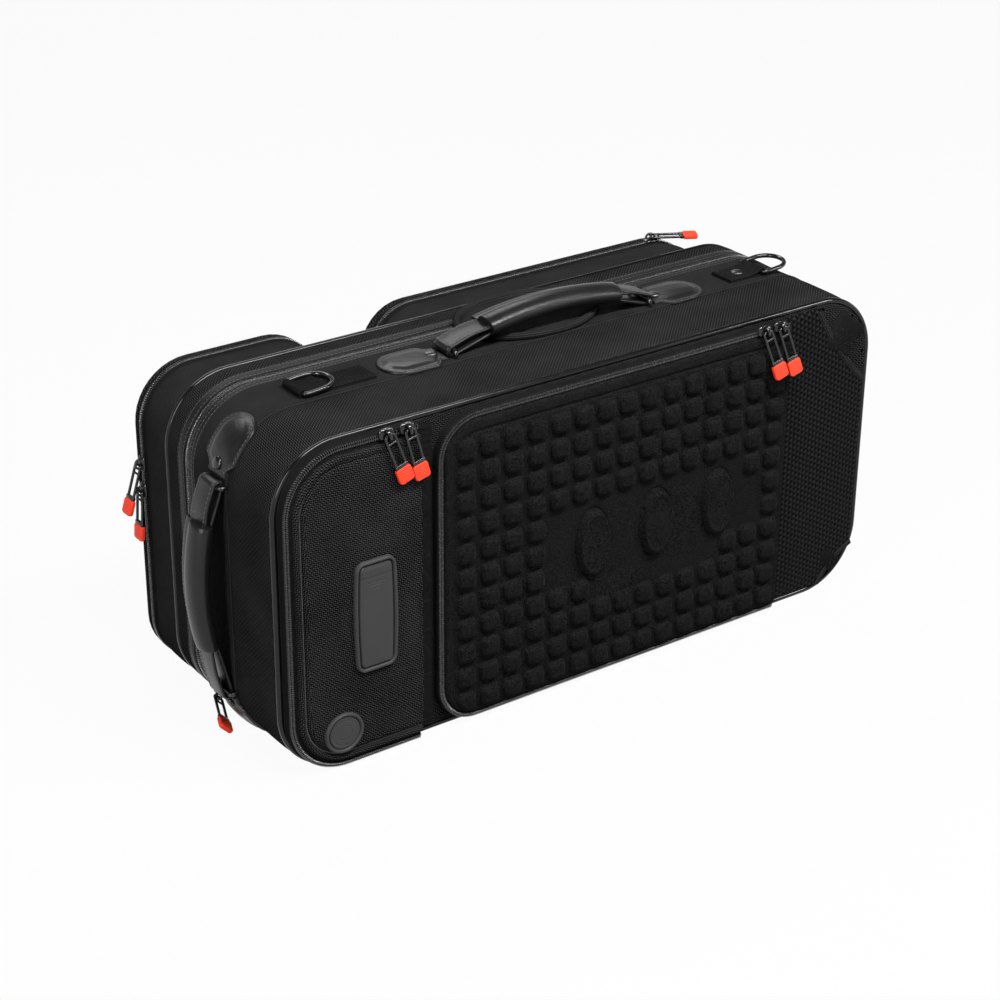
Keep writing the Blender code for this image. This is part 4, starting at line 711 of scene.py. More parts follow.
def makeBaseCloth():
    # Strip, edge under the piping, then the rim round the opening under band and trim.
    inner = case["chamfer"]
    edge = [(-inner, frontY + 0.0002), (-0.0052, frontY + 0.0004), (-0.0040, frontY + 0.0030),
            (-0.0016, frontY + 0.0050)]
    strip = bulged(frontY + 0.0056, clothEnd, -0.0006, baseLook["puff"], 12)
    hidden = [(-0.0017, clothEnd + 0.0008), (-0.0017, bandHigh.y), (-0.0043, bandHigh.y + 0.0004),
              (-0.0043, shellHigh.y - 0.0004), (-0.0055, shellHigh.y), (-case["wall"], shellHigh.y),
              (-case["wall"], shellHigh.y - 0.004)]
    cloth = Cloth(swept(casePath, edge + strip + hidden, baseLook["unevenness"], 3),
                  flatFace(*caseBox, inner, frontY + 0.0002, case["faceSpacing"]))
    cloth.piece("base_cloth", "ballistic_cloth", "base", ["base_shell"],
                (0, (frontY + shellHigh.y) / 2, caseHeight / 2))


def makeBand():
    # A tight flat band with a folded edge that stands a little over the cloth.
    edge = baseLook["bandEdge"]
    low, high = bandLow.y, bandHigh.y
    sag = -baseLook["bandSag"]
    middle = [(edge * 0.6 + sag * math.sin(math.pi * share), low + 0.002 + (high - low - 0.0024) * share)
              for share in np.linspace(0, 1, 12)]
    profile = [(-0.0014, low - 0.0002), (edge * 0.3, low - 0.0002), (edge, low + 0.0006)] + middle
    profile.append((-0.0012, high - 0.0001))
    cloth = Cloth(swept(casePath, profile, 0.00025, 5))
    cloth.piece("band_cloth", "canvas", "base", ["handle_band"], (0, (low + high) / 2, caseHeight / 2))
    row = onPath(casePath, edge * 0.75, low + 0.0022)
    darkThread = dict(stitch, length=0.0022, pitch=0.0030, width=0.0006, height=0.00025)
    stitches("band_stitches", [row], "base", "canvas", darkThread)


trimLook = {"groove": 0.00045, "row": 0.0018}


def makeTrim(body):
    # Leather-look tape with rolled edges and two rows of stitches, each in its own groove.
    low, high = (corner.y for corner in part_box(body + "_zip_trim"))
    width = high - low
    shares = np.linspace(0, 1, 25)
    rows = (trimLook["row"], width - trimLook["row"])
    profile = []
    for share in shares:
        y = low + width * share
        roll = min(share, 1 - share) * width / 0.0006
        outset = -0.0003 + 0.0006 * math.sqrt(min(roll, 1.0))
        for row in rows:
            outset -= trimLook["groove"] * math.exp(-((y - low - row) / 0.0005) ** 2)
        profile.append((outset, y))
    profile = [(-0.0040, low)] + profile + [(-0.0040, high)]
    cloth = Cloth(swept(casePath, profile, 0.00015, 7))
    cloth.piece(body + "_trim", "trim_leather", body, [body + "_zip_trim"],
                (0, (low + high) / 2, caseHeight / 2))
    lines = [onPath(casePath, -0.0002, low + row) for row in rows]
    stitches(body + "_trim_stitches", lines, body)


def makeMainZip():
    # Tape up to the coil on each half, and the row of teeth that belongs to that half.
    for name, body, side in (("base_zip", "base", -1), ("lid_zip", "lid", 1)):
        low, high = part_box(name + "_coil")
        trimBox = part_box(name + "_trim")
        edge = trimBox[1].y if side < 0 else trimBox[0].y
        inner = high.y if side < 0 else low.y
        profile = [(-0.0040, edge), (-0.0020, edge - side * 0.0002), (-0.0012, (edge + inner) / 2),
                   (-0.0010, inner - side * 0.0002)]
        Cloth(swept(casePath, profile)).piece(name + "_tape", "zip_tape", body, (), (0, edge, caseHeight / 2))
        coil = Cloth()
        middle = inner + side * 0.0013
        places, outs = onPath(casePath, -0.0014, middle)
        tubeAlong(coil, places, outs, 0.0009, 8, 0.7, False)
        places, outs = onPath(casePath, -0.0010, middle)
        teethRow(coil, places, outs, side)
        coil.piece(name + "_teeth", "zip_nylon", body, [name + "_coil"])


def makePiping(name, node, body):
    # A glossy cord with the fine seam where its cover is sewn down.
    low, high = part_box(node)
    path = outline(*caseBox, 0.003)
    places, outs = onPath(path, -case["pipingRadius"], (low.y + high.y) / 2)
    cloth = Cloth()
    tubeAlong(cloth, places, outs, case["pipingRadius"] - 0.00002, 14, 1.0, False)
    cloth.piece(name, "vinyl", body, [node])


makeBaseCloth()
makeBand()
makeTrim("base")
makeTrim("lid")
makeMainZip()
makePiping("front_cord", "front_piping", "base")
makePiping("lid_cord", "lid_piping", "lid")
print("base half made")


# Lid half and its rear pockets

def makeLidCloth():
    inner = case["chamfer"]
    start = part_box("lid_zip_trim")[1].y
    hidden = [(-case["wall"], lidLow.y + 0.004), (-case["wall"], lidLow.y), (-0.0055, lidLow.y),
              (-0.0043, lidLow.y + 0.0004), (-0.0043, start + 0.0002)]
    strip = bulged(start + 0.0004, rearY - 0.0056, -0.0006, baseLook["puff"] * 0.7, 8)
    edge = [(-0.0016, rearY - 0.0050), (-0.0040, rearY - 0.0030), (-0.0052, rearY - 0.0004),
            (-inner, rearY - 0.0002)]
    cloth = Cloth(swept(casePath, hidden + strip + edge, baseLook["unevenness"], 11),
                  flatFace(*caseBox, inner, rearY - 0.0002, case["faceSpacing"]))
    cloth.piece("lid_cloth", "ballistic_cloth", "lid", ["lid_shell"],
                (0, (lidLow.y + rearY) / 2, caseHeight / 2))


rearPocket = {"puff": 0.0016, "roundness": 0.016, "faceBulge": 0.0035, "coilRise": 0.0006,
              "fold": 0.012, "tape": 0.0065, "thickness": 0.0031, "liningDepth": 0.0045}
rearRadius = {"right": 0.042, "left": 0.046}


def makeRearWall(side, box, path, centre, floor, split):
    # The puffed wall up to the zip's tape, and the plush inside it and on its floor.
    edge, inset = split - rearPocket["tape"], rearPocket["thickness"]
    profile = bulged(floor, edge, -0.0004, rearPocket["puff"], 10)
    wall = Cloth(swept(path, profile, 0.0008, 21 + len(side)))
    wall.piece(side + "_wall_cloth", "canvas", "lid", [side + "_pocket_wall"], centre)
    inside = Cloth(swept(path, [(-0.0010, edge), (-inset, edge), (-inset, floor + inset)]),
                   flatFace(*box, inset, floor + inset, case["liningSpacing"]))
    inside.piece(side + "_wall_inside", "plush", "lid")


def makeRearZip(side, box, path, centre, split):
    # Tape and teeth of both halves. The cover folds on its right edge, so the coil leaves it out.
    rise = rearPocket["coilRise"]
    for part, body, way in (("wall", "lid", -1), ("cover", side + "_cover", 1)):
        edge, inner = split + way * rearPocket["tape"], split + way * 0.0004
        cloth = Cloth(swept(path, [(-0.0016, edge), (-0.0002, edge + (inner - edge) * 0.15),
                                   (rise * 0.3, edge + (inner - edge) * 0.6), (rise * 0.2, inner)]))
        cloth.piece("%s_%s_tape" % (side, part), "zip_tape", body, (), centre)
        coil = Cloth()
        places, outs = onPath(path, 0.0, split + way * 0.0011)
        teethRow(coil, places, outs, way, 0.0, box[1][0] - rearPocket["fold"])
        coil.piece("%s_%s_teeth" % (side, part), "zip_nylon", body)


def makeRearCover(side, box, path, centre, split, depth):
    # A rim above the tape, a rolled shoulder, and a face that rises a little to its middle.
    tape, bend = rearPocket["tape"], rearPocket["roundness"]
    shoulder = [(bend - bend * math.sin(turn), depth - bend + bend * math.cos(turn))
                for turn in np.radians(np.linspace(84, 8, 9))]
    rim = [(0.0014, tape), (0.0000, tape + 0.0006), (-0.0006, tape + 0.0022)]
    rim += [point for point in shoulder if point[1] > tape + 0.0030]

    def crown(x, z):
        inside = rectangleDistance(x, z, *box) - bend
        lift = smoothStep(inside / 0.05) * rearPocket["faceBulge"]
        return lift + ripple(x, z, 31 + len(side), 0.12) * 0.0009 * smoothStep(inside / 0.02)

    cover = Cloth()
    flap(cover, *box, rim, crown, split, 1, 0.005)
    cover.piece(side + "_cover_cloth", "ballistic_cloth", side + "_cover",
                [side + "_pocket_cover"], centre)
    inset, face = bend * 0.7, split + depth - rearPocket["liningDepth"]
    lining = Cloth(swept(path, [(-0.0012, split + 0.0004), (-0.0032, split + 0.0006),
                                (-0.0034, split + depth - bend), (-inset, face)]),
                   flatFace(*box, inset, face, case["liningSpacing"]))
    lining.piece(side + "_cover_inside", "plush", side + "_cover")


def makeRearPocket(side):
    wallLow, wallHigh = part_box(side + "_pocket_wall")
    coverLow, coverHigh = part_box(side + "_pocket_cover")
    low, high = (wallLow.x, wallLow.z), (wallHigh.x, wallHigh.z)
    box = (low, high, (rearRadius[side], rearRadius[side]))
    centre = ((low[0] + high[0]) / 2, (wallLow.y + coverHigh.y) / 2, (low[1] + high[1]) / 2)
    path = outline(*box, case["spacing"])
    split = (wallHigh.y + coverLow.y) / 2
    makeRearWall(side, box, path, centre, wallLow.y, split)
    makeRearZip(side, box, path, centre, split)
    makeRearCover(side, box, path, centre, split, coverHigh.y - split)


makeLidCloth()
makeRearPocket("right")
makeRearPocket("left")
print("lid half made")


# Front pocket and padded back panel

frontZip = {"foot": 0.0056, "crest": 0.0030, "height": 0.0070, "lean": 0.30}


def frontOuts(path):
    # Directions that face the front and lean a little outwards.
    normals, lean = path[1], frontZip["lean"]
    return xyz(normals[:, 0] * math.sin(lean), -math.cos(lean), normals[:, 1] * math.sin(lean))


def makeFrontZip(name, low, high, radii, body, gusset, ledge=0.0):
    # Outer tape up from the case to the coil, the coil's two rows, and the tape down to the cover.
    path = outline(low, high, radii, 0.003, True)
    profile = [(0.0006 + frontZip["foot"], 0.0000), (frontZip["foot"], -0.0006), (0.0055, -0.0030),
               (0.0052, -0.0056), (0.0046, -0.0066), (0.0032, 0.0002 - frontZip["height"])]
    outer = Cloth(swept(path, [(out, frontY + rise) for out, rise in profile], 0.0004, 41))
    outer.piece(name + "_outer_tape", "zip_tape", "base", [gusset])
    # The ledge is the tape that shows between the coil and a corded edge.
    profile = [(0.0028, -0.0068), (0.0016, -0.0064), (0.0008, -0.0056), (0.0002, -0.0042),
               (0.0002, -0.0006)]
    if ledge:
        profile = [(0.0028, -0.0068), (0.0014, -0.0068), (-ledge, -0.0074), (-ledge - 0.0006, -0.0066)]
    inner = Cloth(swept(path, [(out, frontY + rise) for out, rise in profile]))
    inner.piece(name + "_inner_tape", "zip_tape", body)
    places, _ = onPath(path, frontZip["crest"], frontY - frontZip["height"])
    for part, rides, side in (("outer", "base", -1), ("inner", body, 1)):
        coil = Cloth()
        teethRow(coil, places, frontOuts(path), side, side * teeth["offset"])
        coil.piece("%s_%s_teeth" % (name, part), "zip_nylon", rides)


pocketLook = {"radius": 0.045, "ledge": 0.0022, "ledgeHeight": 0.0064, "cord": 0.0024,
              "cordHeight": 0.0090, "groove": 0.0074, "face": 0.0107, "bulge": 0.0009, "spacing": 0.0035,
              "inside": (0.0026, 0.0086),
              "creases": ((-0.196, 0.020, -38, 0.0010, 0.0035, 0.022),
                          (-0.183, 0.028, -50, 0.0008, 0.0030, 0.018),
                          (-0.205, 0.246, 24, 0.0007, 0.0040, 0.030),
                          (-0.240, 0.215, 50, 0.0005, 0.0060, 0.030))}


def creaseHeight(x, z, creases):
    # Each crease is a soft ridge: its middle, direction in degrees, height, width and length.
    total = np.zeros_like(x)
    for middleX, middleZ, degrees, height, width, length in creases:
        angle = math.radians(degrees)
        along = (x - middleX) * math.cos(angle) + (z - middleZ) * math.sin(angle)
        across = (z - middleZ) * math.cos(angle) - (x - middleX) * math.sin(angle)
        ridge = np.exp(-(across / width) ** 2) - 0.6 * np.exp(-((across - 1.6 * width) / width) ** 2)
        total += ridge * height * np.exp(-(along / length) ** 2)
    return total


def cordedRim():
    # Side, a ledge under the zip's tape, a fabric cord over the edge, and the groove beside it, as
    # (inset, height).
    cord, height, ledge = pocketLook["cord"], pocketLook["cordHeight"], pocketLook["ledge"]
    level = pocketLook["ledgeHeight"]
    rim = [(0.0, 0.0006), (0.0, level), (ledge, level), (ledge, height)]
    for turn in np.linspace(0, math.pi, 11)[1:]:
        rim.append((ledge + cord - cord * math.cos(turn), height + cord * math.sin(turn)))
    return rim + [(0.0074, pocketLook["groove"]), (0.0082, 0.0086), (0.0096, 0.0100),
                  (0.0114, pocketLook["face"])]


def openCover(low, high, radii, rim, face, spacing):
    # The cloth of a front cover, with a strip at its open right edge down to just over the case.
    cover = Cloth()
    flap(cover, low, high, radii, rim, face, frontY, -1, spacing, True)
    x, z = (values[0] for values in flapGrid(*insetBox(low, high, radii, rim[-1][0], True), spacing))
    height = rim[-1][1] + face(x[None], z[None])[0]
    drop = np.array([0.0, 0.06, 0.2, 1.0])
    out = np.array([0.0, 0.0004, 0.0006, 0.0006])
    y = frontY - (height[:, None] + (0.0008 - height[:, None]) * drop[None, :])
    cover.grid(xyz(x[:, None] + out[None, :], y, z[:, None]))
    return cover


def coverInside(name, body, low, high, radii, thickness, depth):
    # The plush on the back of a front cover: its side and its face.
    path = outline(low, high, radii, case["spacing"], True)
    inside = Cloth(swept(path, [(-0.0004, frontY - 0.0007), (-thickness, frontY - 0.0009),
                                (-thickness, frontY - depth)]),
                   flatFace(low, high, radii, thickness, frontY - depth, case["liningSpacing"], True))
    inside.piece(name, "plush", body)


def makePocketCover():
    low, high = corners("front_pocket_cover")
    radii = (pocketLook["radius"], 0.0)
    makeFrontZip("pocket_zip", low, high, radii, "front_cover", "pocket_gusset", pocketLook["ledge"])
    rim = cordedRim()
    windowLow, windowHigh = corners("card_window")
    badgeLow, badgeHigh = corners("round_badge")
    badge = ((badgeLow[0] + badgeHigh[0]) / 2, (badgeLow[1] + badgeHigh[1]) / 2)
    badgeRadius = (badgeHigh[0] - badgeLow[0]) / 2

    def face(x, z):
        depthIn = rectangleDistance(x, z, low, (high[0] + 0.05, high[1]), radii) - rim[-1][0]
        rise = smoothStep(depthIn / 0.025)
        height = rise * pocketLook["bulge"] + creaseHeight(x, z, pocketLook["creases"]) * rise
        height += ripple(x, z, 51, 0.10) * 0.0005 * rise
        # Flat where the window and the badge sit
        near = rectangleDistance(x, z, windowLow, windowHigh, (0.006, 0.006))
        flat = smoothStep(1 + near / 0.012)
        away = np.hypot(x - badge[0], z - badge[1]) - badgeRadius
        flat = np.maximum(flat, smoothStep(1 - away / 0.010))
        return height * (1 - flat) + pocketLook["bulge"] * 0.9 * flat

    cover = openCover(low, high, radii, rim, face, pocketLook["spacing"])
    cover.piece("pocket_cover_cloth", "ballistic_cloth", "front_cover", ["front_pocket_cover"],
                (-0.22, frontY + 0.05, 0.13))
    coverInside("pocket_cover_inside", "front_cover", low, high, radii, *pocketLook["inside"])
    # A fine row where the fold is sewn down beside the column
    row = frontRow(high[0] - 0.0022, frontY - 0.0119, np.linspace(low[1] + 0.012, high[1] - 0.012, 60))
    stitches("pocket_fold_stitches", [row], "front_cover", "canvas")


padLook = {"radius": 0.030, "side": 0.0066, "round": 0.0034, "edge": 0.0048, "band": (0.0062, 0.0100),
           "groove": (0.0016, 0.0011), "spacing": 0.00110, "height": 0.0056, "half": 0.0083,
           "pitchX": 0.0218, "pitchZ": 0.0216, "leftMargin": 0.0085, "topMargin": 0.0130,
           "farMargin": 0.0040, "size": 0.0178, "channel": (0.0560, 0.1260, 0.1180, 0.0460),
           "lozenges": (-0.54, 0.0, 0.54), "lozenge": (0.0150, 0.0280), "square": 3.6,
           "inside": (0.0022, 0.0080)}


def cushionCentres(low, high):
    # The grid from the top left; the channel's ellipse leaves out what it covers.
    left, top = low[0] + padLook["leftMargin"], high[1] - padLook["topMargin"]
    width = high[0] - left - padLook["farMargin"] - padLook["size"]
    height = top - low[1] - padLook["farMargin"] - padLook["size"]
    columns, rows = int(width / padLook["pitchX"]) + 1, int(height / padLook["pitchZ"]) + 1
    centreX, centreZ, halfX, halfZ = padLook["channel"]
    x = left + padLook["size"] / 2 + np.arange(columns)[None, :] * padLook["pitchX"]
    z = top - padLook["size"] / 2 - np.arange(rows)[:, None] * padLook["pitchZ"]
    kept = ((x - centreX) / halfX) ** 2 + ((z - centreZ) / halfZ) ** 2 >= 1
    x, z = np.broadcast_to(x, kept.shape), np.broadcast_to(z, kept.shape)
    return x[kept], z[kept]


def pillowHeights(x, z, low, high):
    # Rounded squares: reach is 0 in the middle of a cushion and 1 on its edge, as the superellipse
    # (u^n + v^n)^(1/n), and the height is (1 - reach^5)^0.45 with a groove at the foot.
    across, up = cushionCentres(low, high)
    left = low[0] + padLook["leftMargin"] + padLook["size"] / 2
    top = high[1] - padLook["topMargin"] - padLook["size"] / 2
    column = np.round((x - left) / padLook["pitchX"])
    row = np.round((top - z) / padLook["pitchZ"])
    middleX, middleZ = left + column * padLook["pitchX"], top - row * padLook["pitchZ"]
    kept = np.zeros((40, 40), bool)
    kept[np.round((across - left) / padLook["pitchX"]).astype(int),
         np.round((top - up) / padLook["pitchZ"]).astype(int)] = True
    cell = tuple(np.clip(index, 0, 39).astype(int) for index in (column, row))
    random = np.random.default_rng(9)
    swell = random.uniform(0.88, 1.0, (40, 40))[cell]
    shiftX = random.uniform(-0.0005, 0.0005, (40, 40))[cell]
    power = padLook["square"]
    u, v = np.abs(x - middleX - shiftX) / padLook["half"], np.abs(z - middleZ) / padLook["half"]
    reach = (u ** power + v ** power) ** (1 / power)
    pillow = np.clip(1 - reach ** 5, 0, 1) ** 0.45 * (1 - 0.12 * reach ** 2)
    foot = np.exp(-((reach - 1.07) / 0.09) ** 2) * 0.30
    inside = (column >= 0) & (row >= 0) & kept[cell]
    return np.where(inside, (pillow - foot) * swell * padLook["height"], 0.0)


def ellipseShare(x, z, centreX, centreZ, half):
    # 0 in the middle of an ellipse and 1 on its edge.
    return np.sqrt(((x - centreX) / half[0]) ** 2 + ((z - centreZ) / half[1]) ** 2)


def plateau(share, width, edge):
    # A raised oval with a soft shoulder, and a face a little lower than its rim.
    top = np.clip((1 - share) / edge, 0, 1)
    return np.sqrt(top * (2 - top)) * (1 - 0.16 * smoothStep((width - share) / 0.05))


def makePad():
    low, high = corners("back_pad")
    radii = (padLook["radius"], 0.0)
    makeFrontZip("pad_zip", low, high, radii, "pad", "pad_gusset")
    rim = [(0.0, 0.0006), (0.0, padLook["side"])]
    curve = padLook["round"]
    for turn in np.linspace(0, math.pi / 2, 7)[1:]:
        rim.append((curve - curve * math.cos(turn), padLook["side"] + curve * math.sin(turn)))
    rim.append((padLook["edge"], padLook["side"] + curve + 0.0002))
    centreX, centreZ, halfX, halfZ = padLook["channel"]
    # The seam runs beside the top and the left edge and leaves the pad at the bottom.
    seamLow = (low[0] + padLook["band"][0], low[1] - 0.10)
    seamHigh = (high[0] + 0.05, high[1] - padLook["band"][1])
    seamRadii = (radii[0] - padLook["band"][0], 0.0)

    def face(x, z):
        fromSeam = rectangleDistance(x, z, seamLow, seamHigh, seamRadii)
        edge = smoothStep(rectangleDistance(x, z, low, (high[0] + 0.05, high[1]), radii) / 0.004 - 1.3)
        height = -padLook["groove"][0] * np.exp(-(fromSeam / padLook["groove"][1]) ** 2) * edge
        height += ripple(x, z, 61, 0.15) * 0.0004 * smoothStep(fromSeam / 0.02)
        pillows = pillowHeights(x, z, low, high)
        shapes = np.zeros_like(x)
        for place in padLook["lozenges"]:
            share = ellipseShare(x, z, centreX + place * halfX, centreZ, padLook["lozenge"])
            shapes = np.maximum(shapes, plateau(share, 0.86, 0.10) * padLook["height"])
            height -= 0.0012 * np.exp(-((share - 1.05) / 0.04) ** 2)
        dip = -0.0004 * smoothStep(1.2 - ellipseShare(x, z, centreX, centreZ, (halfX, halfZ)))
        return height + np.maximum(pillows, shapes) + np.where(shapes > 0, 0, dip)

    cover = openCover(low, high, radii, rim, face, padLook["spacing"])
    pad = cover.piece("pad_cover", "velour", "pad", ["back_pad"], (0.02, frontY + 0.05, 0.13), False, 60)
    path = outline(seamLow, seamHigh, seamRadii, 0.0016, True)
    row, _ = onPath(path, 0.0, frontY - rim[-1][1] + padLook["groove"][0] - 0.0002)
    row = row[(row[:, 2] > low[1] + radii[0]) & (row[:, 0] < high[0] - 0.003)]
    fine = dict(stitch, length=0.0020, pitch=0.0028, width=0.0006, height=0.0003)
    stitches("pad_seam", [frontRow(*row.T)], "pad", "canvas", fine)
    coverInside("pad_inside", "pad", low, high, radii, *padLook["inside"])


makePocketCover()
makePad()
print("front covers made")


# Column of webbing between the covers, with its folded loops

columnLook = {"thickness": 0.0030, "pull": 0.00045, "foldRise": 0.0012, "foldHeight": 0.034,
              "foldWidth": 0.010, "folds": 3, "barTacks": 0.0088}


def makeColumn():
    # Webbing that is gathered towards both ends: waves across it that fade to its edges.
    low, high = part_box("webbing_column")
    middle, half = (low.x + high.x) / 2, (high.x - low.x) / 2
    thickness = columnLook["thickness"]
    shares, z = np.meshgrid(np.linspace(-1, 1, 13), np.linspace(low.z, high.z, 240), indexing="ij")
    gathered = smoothStep((z - (high.z - 0.055)) / 0.03) + smoothStep((low.z + 0.03 - z) / 0.02) * 0.6
    wave = np.sin(z / 0.0052 * 2 * math.pi + shares * 0.9) * (0.5 + 0.5 * np.sin(z / 0.013 * 6.28 + 1.0))
    height = thickness * (1 - shares ** 10) + wave * columnLook["pull"] * gathered * (1 - shares ** 4)
    cloth = Cloth()
    cloth.grid(xyz(middle + half * shares, frontY - np.maximum(height, 0.0004), z))
    inside = (middle, frontY + 0.1, 0.13)
    cloth.piece("column_webbing", "webbing", "base", ["webbing_column"], inside)
    folds, tacks = Cloth(), []
    step = (high.z - low.z) / (columnLook["folds"] + 1)
    left = middle - columnLook["foldWidth"] / 2 - 0.0008
    along = np.linspace(middle - columnLook["barTacks"] / 2, middle + columnLook["barTacks"] / 2, 12)
    s, t = np.meshgrid(np.linspace(0, 1, 12), np.linspace(-1, 1, 15), indexing="ij")
    lift = thickness + 0.0002 + columnLook["foldRise"] * (1 - t ** 6) * (0.35 + 0.65 * s * (1 - s) * 4)
    for index in range(columnLook["folds"]):
        centre = low.z + step * (index + 1)
        x = left + s * (columnLook["foldWidth"] + 0.0012)
        z = centre + t * columnLook["foldHeight"] / 2 * (1 - s * 0.97) - 0.004 * s
        folds.grid(xyz(x, frontY - lift, z), np.stack([z, x], -1))
        for side in (-1, 1):
            for shift in (0.0, 0.0012, 0.0024):
                place = centre + side * (columnLook["foldHeight"] / 2 + 0.0014 + shift)
                tacks.append(frontRow(along, frontY - thickness - 0.0001, place))
    folds.piece("column_folds", "webbing", "base", (), inside)
    stitches("column_tacks", tacks, "base", "canvas", dict(stitch, pitch=0.0013, length=0.0012))


makeColumn()

# Air-mesh panel at the right, its bound edges and the strap ends that come out of its corners

meshPanel = {"rise": 0.0026, "puff": 0.0008, "bow": 0.0040, "topCut": (0.2290, 0.1940),
             "bottomCut": (0.2480, 0.0360), "binding": 0.0052}


def meshEdge(low, high):
    # The panel's right edge from bottom to top: two bowed cuts and the straight stretch between.
    def cut(start, stop):
        shares = np.linspace(0, 1, 20)[:, None]
        start, stop = np.array(start), np.array(stop)
        along = stop - start
        inwards = np.array([-along[1], along[0]]) / np.linalg.norm(along)
        return start + shares * along + inwards * (meshPanel["bow"] * 4 * shares * (1 - shares))

    lower = cut((meshPanel["bottomCut"][0], low.z), (high.x, meshPanel["bottomCut"][1]))
    upper = cut((high.x, meshPanel["topCut"][1]), (meshPanel["topCut"][0], high.z))
    return lower, upper


def makeMeshPanel():
    low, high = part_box("mesh_panel")
    lower, upper = meshEdge(low, high)
    edge = np.concatenate([lower, upper])
    z = np.unique(np.concatenate([np.linspace(low.z, high.z, 110), edge[:, 1]]))
    right = np.interp(z, edge[:, 1], edge[:, 0])
    shares = np.linspace(0, 1, 40)
    x = low.x + (right - low.x)[:, None] * shares[None, :]
    zs = z[:, None] + np.zeros_like(x)
    fromEdge = np.minimum(np.minimum(x - low.x, right[:, None] - x), np.minimum(zs - low.z, high.z - zs))
    height = meshPanel["rise"] * np.sqrt(np.clip(fromEdge / 0.0012, 0, 1)) + 0.0002
    height += (meshPanel["puff"] * smoothStep(fromEdge / 0.02)
               + ripple(x, zs, 71, 0.07) * 0.0003 * smoothStep(fromEdge / 0.01))
    cloth = Cloth()
    cloth.grid(xyz(x, frontY - height, zs))
    inside = (0.23, frontY + 0.1, 0.13)
    cloth.piece("mesh_cloth", "air_mesh", "base", ["mesh_panel"], inside)
    binding, rows = Cloth(), []
    spread = np.array([-0.0003, -0.0002, 0.0004, 0.0020, 0.0036, meshPanel["binding"]])
    rise = np.array([0.0006, 0.0030, 0.0035, 0.0037, 0.0037, 0.0031])
    for cut in (lower, upper):
        along = units(np.gradient(cut, axis=0))
        inwards = np.stack([-along[:, 1], along[:, 0]], 1)
        places = cut[:, None] + inwards[:, None] * spread[None, :, None]
        y = frontY - rise[None, :] + np.zeros(places.shape[:2])
        binding.grid(xyz(places[..., 0], y, places[..., 1]), uvGrid(walked(cut), spread))
        row = cut + inwards * (meshPanel["binding"] - 0.0012)
        rows.append(frontRow(row[:, 0], frontY - 0.0036, row[:, 1]))
    binding.piece("mesh_binding", "canvas", "base", (), inside)
    stitches("mesh_stitches", rows, "base", "canvas")


strapEnds = {"upper": (0.2580, 0.2360, 0.034, 0.034, 37.0), "lower": (0.2580, 0.0280, 0.016, 0.028, -41.0)}


def makeStrapEnds():
    # Flat ends of webbing, each turned about its middle, with zigzag seams across.
    cloth, rows = Cloth(), []
    s, t = np.meshgrid(np.linspace(-1, 1, 15), np.linspace(-1, 1, 15), indexing="ij")
    y = frontY - 0.0040 * (1 - np.maximum(np.abs(s), np.abs(t)) ** 14) + 0.0002
    across, zigzag = np.linspace(-0.86, 0.86, 14), np.where(np.arange(14) % 2, 0.0016, -0.0016)
    for centreX, centreZ, width, length, degrees in strapEnds.values():
        angle = math.radians(degrees)

        def turned(u, v, centreX=centreX, centreZ=centreZ, angle=angle):
            return (centreX + u * math.cos(angle) + v * math.sin(angle),
                    centreZ - u * math.sin(angle) + v * math.cos(angle))

        u, v = s * width / 2, t * length / 2
        x, z = turned(u, v)
        cloth.grid(xyz(x, y, z), np.stack([u, v], -1))
        for row in (-0.55, -0.2, 0.15):
            x, z = turned(across * width / 2, row * length / 2 + zigzag)
            rows.append(frontRow(x, frontY - 0.0041, z))
    cloth.piece("strap_ends", "webbing", "base", (), (0.25, frontY + 0.1, 0.13))
    stitches("strap_end_stitches", rows, "base", "canvas", dict(stitch, pitch=0.0020))


stowed = {"rise": 0.0042, "width": 0.062, "yoke": 0.050, "radius": 0.012}


def makeStowedStraps():
    # The two carrying pads and their yoke, flat under the back panel.
    low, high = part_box("shoulder_straps")
    cloth = Cloth()
    rim = [(0.0, 0.0003), (0.0, 0.0020), (0.0006, 0.0034), (0.0020, stowed["rise"] - 0.0003)]
    pieces = (((low.x, low.z), (low.x + stowed["width"], high.z - stowed["yoke"] * 0.5)),
              ((high.x - stowed["width"], low.z), (high.x, high.z - stowed["yoke"] * 0.5)),
              ((low.x, high.z - stowed["yoke"]), (high.x, high.z)))
    for start, stop in pieces:
        box = (start, stop, (stowed["radius"], stowed["radius"]))

        def puff(x, z, box=box):
            return smoothStep(rectangleDistance(x, z, *box) / 0.012) * 0.0004

        flap(cloth, *box, rim, puff, frontY, -1, 0.006)
    straps = cloth.piece("stowed_straps", "air_mesh", "base", ["shoulder_straps"], (0.02, frontY + 0.1, 0.13))


makeMeshPanel()
makeStrapEnds()
makeStowedStraps()
print("column, mesh and straps made")


# Card window and round badge

windowLook = {"bow": 0.10, "radius": 0.0080, "plate": 0.0023, "bar": (0.0098, 0.0040),
              "ribs": (0.0182, 0.0206, 0.0230), "frame": 0.0017, "frameHalf": 0.0017, "groove": 0.0002}


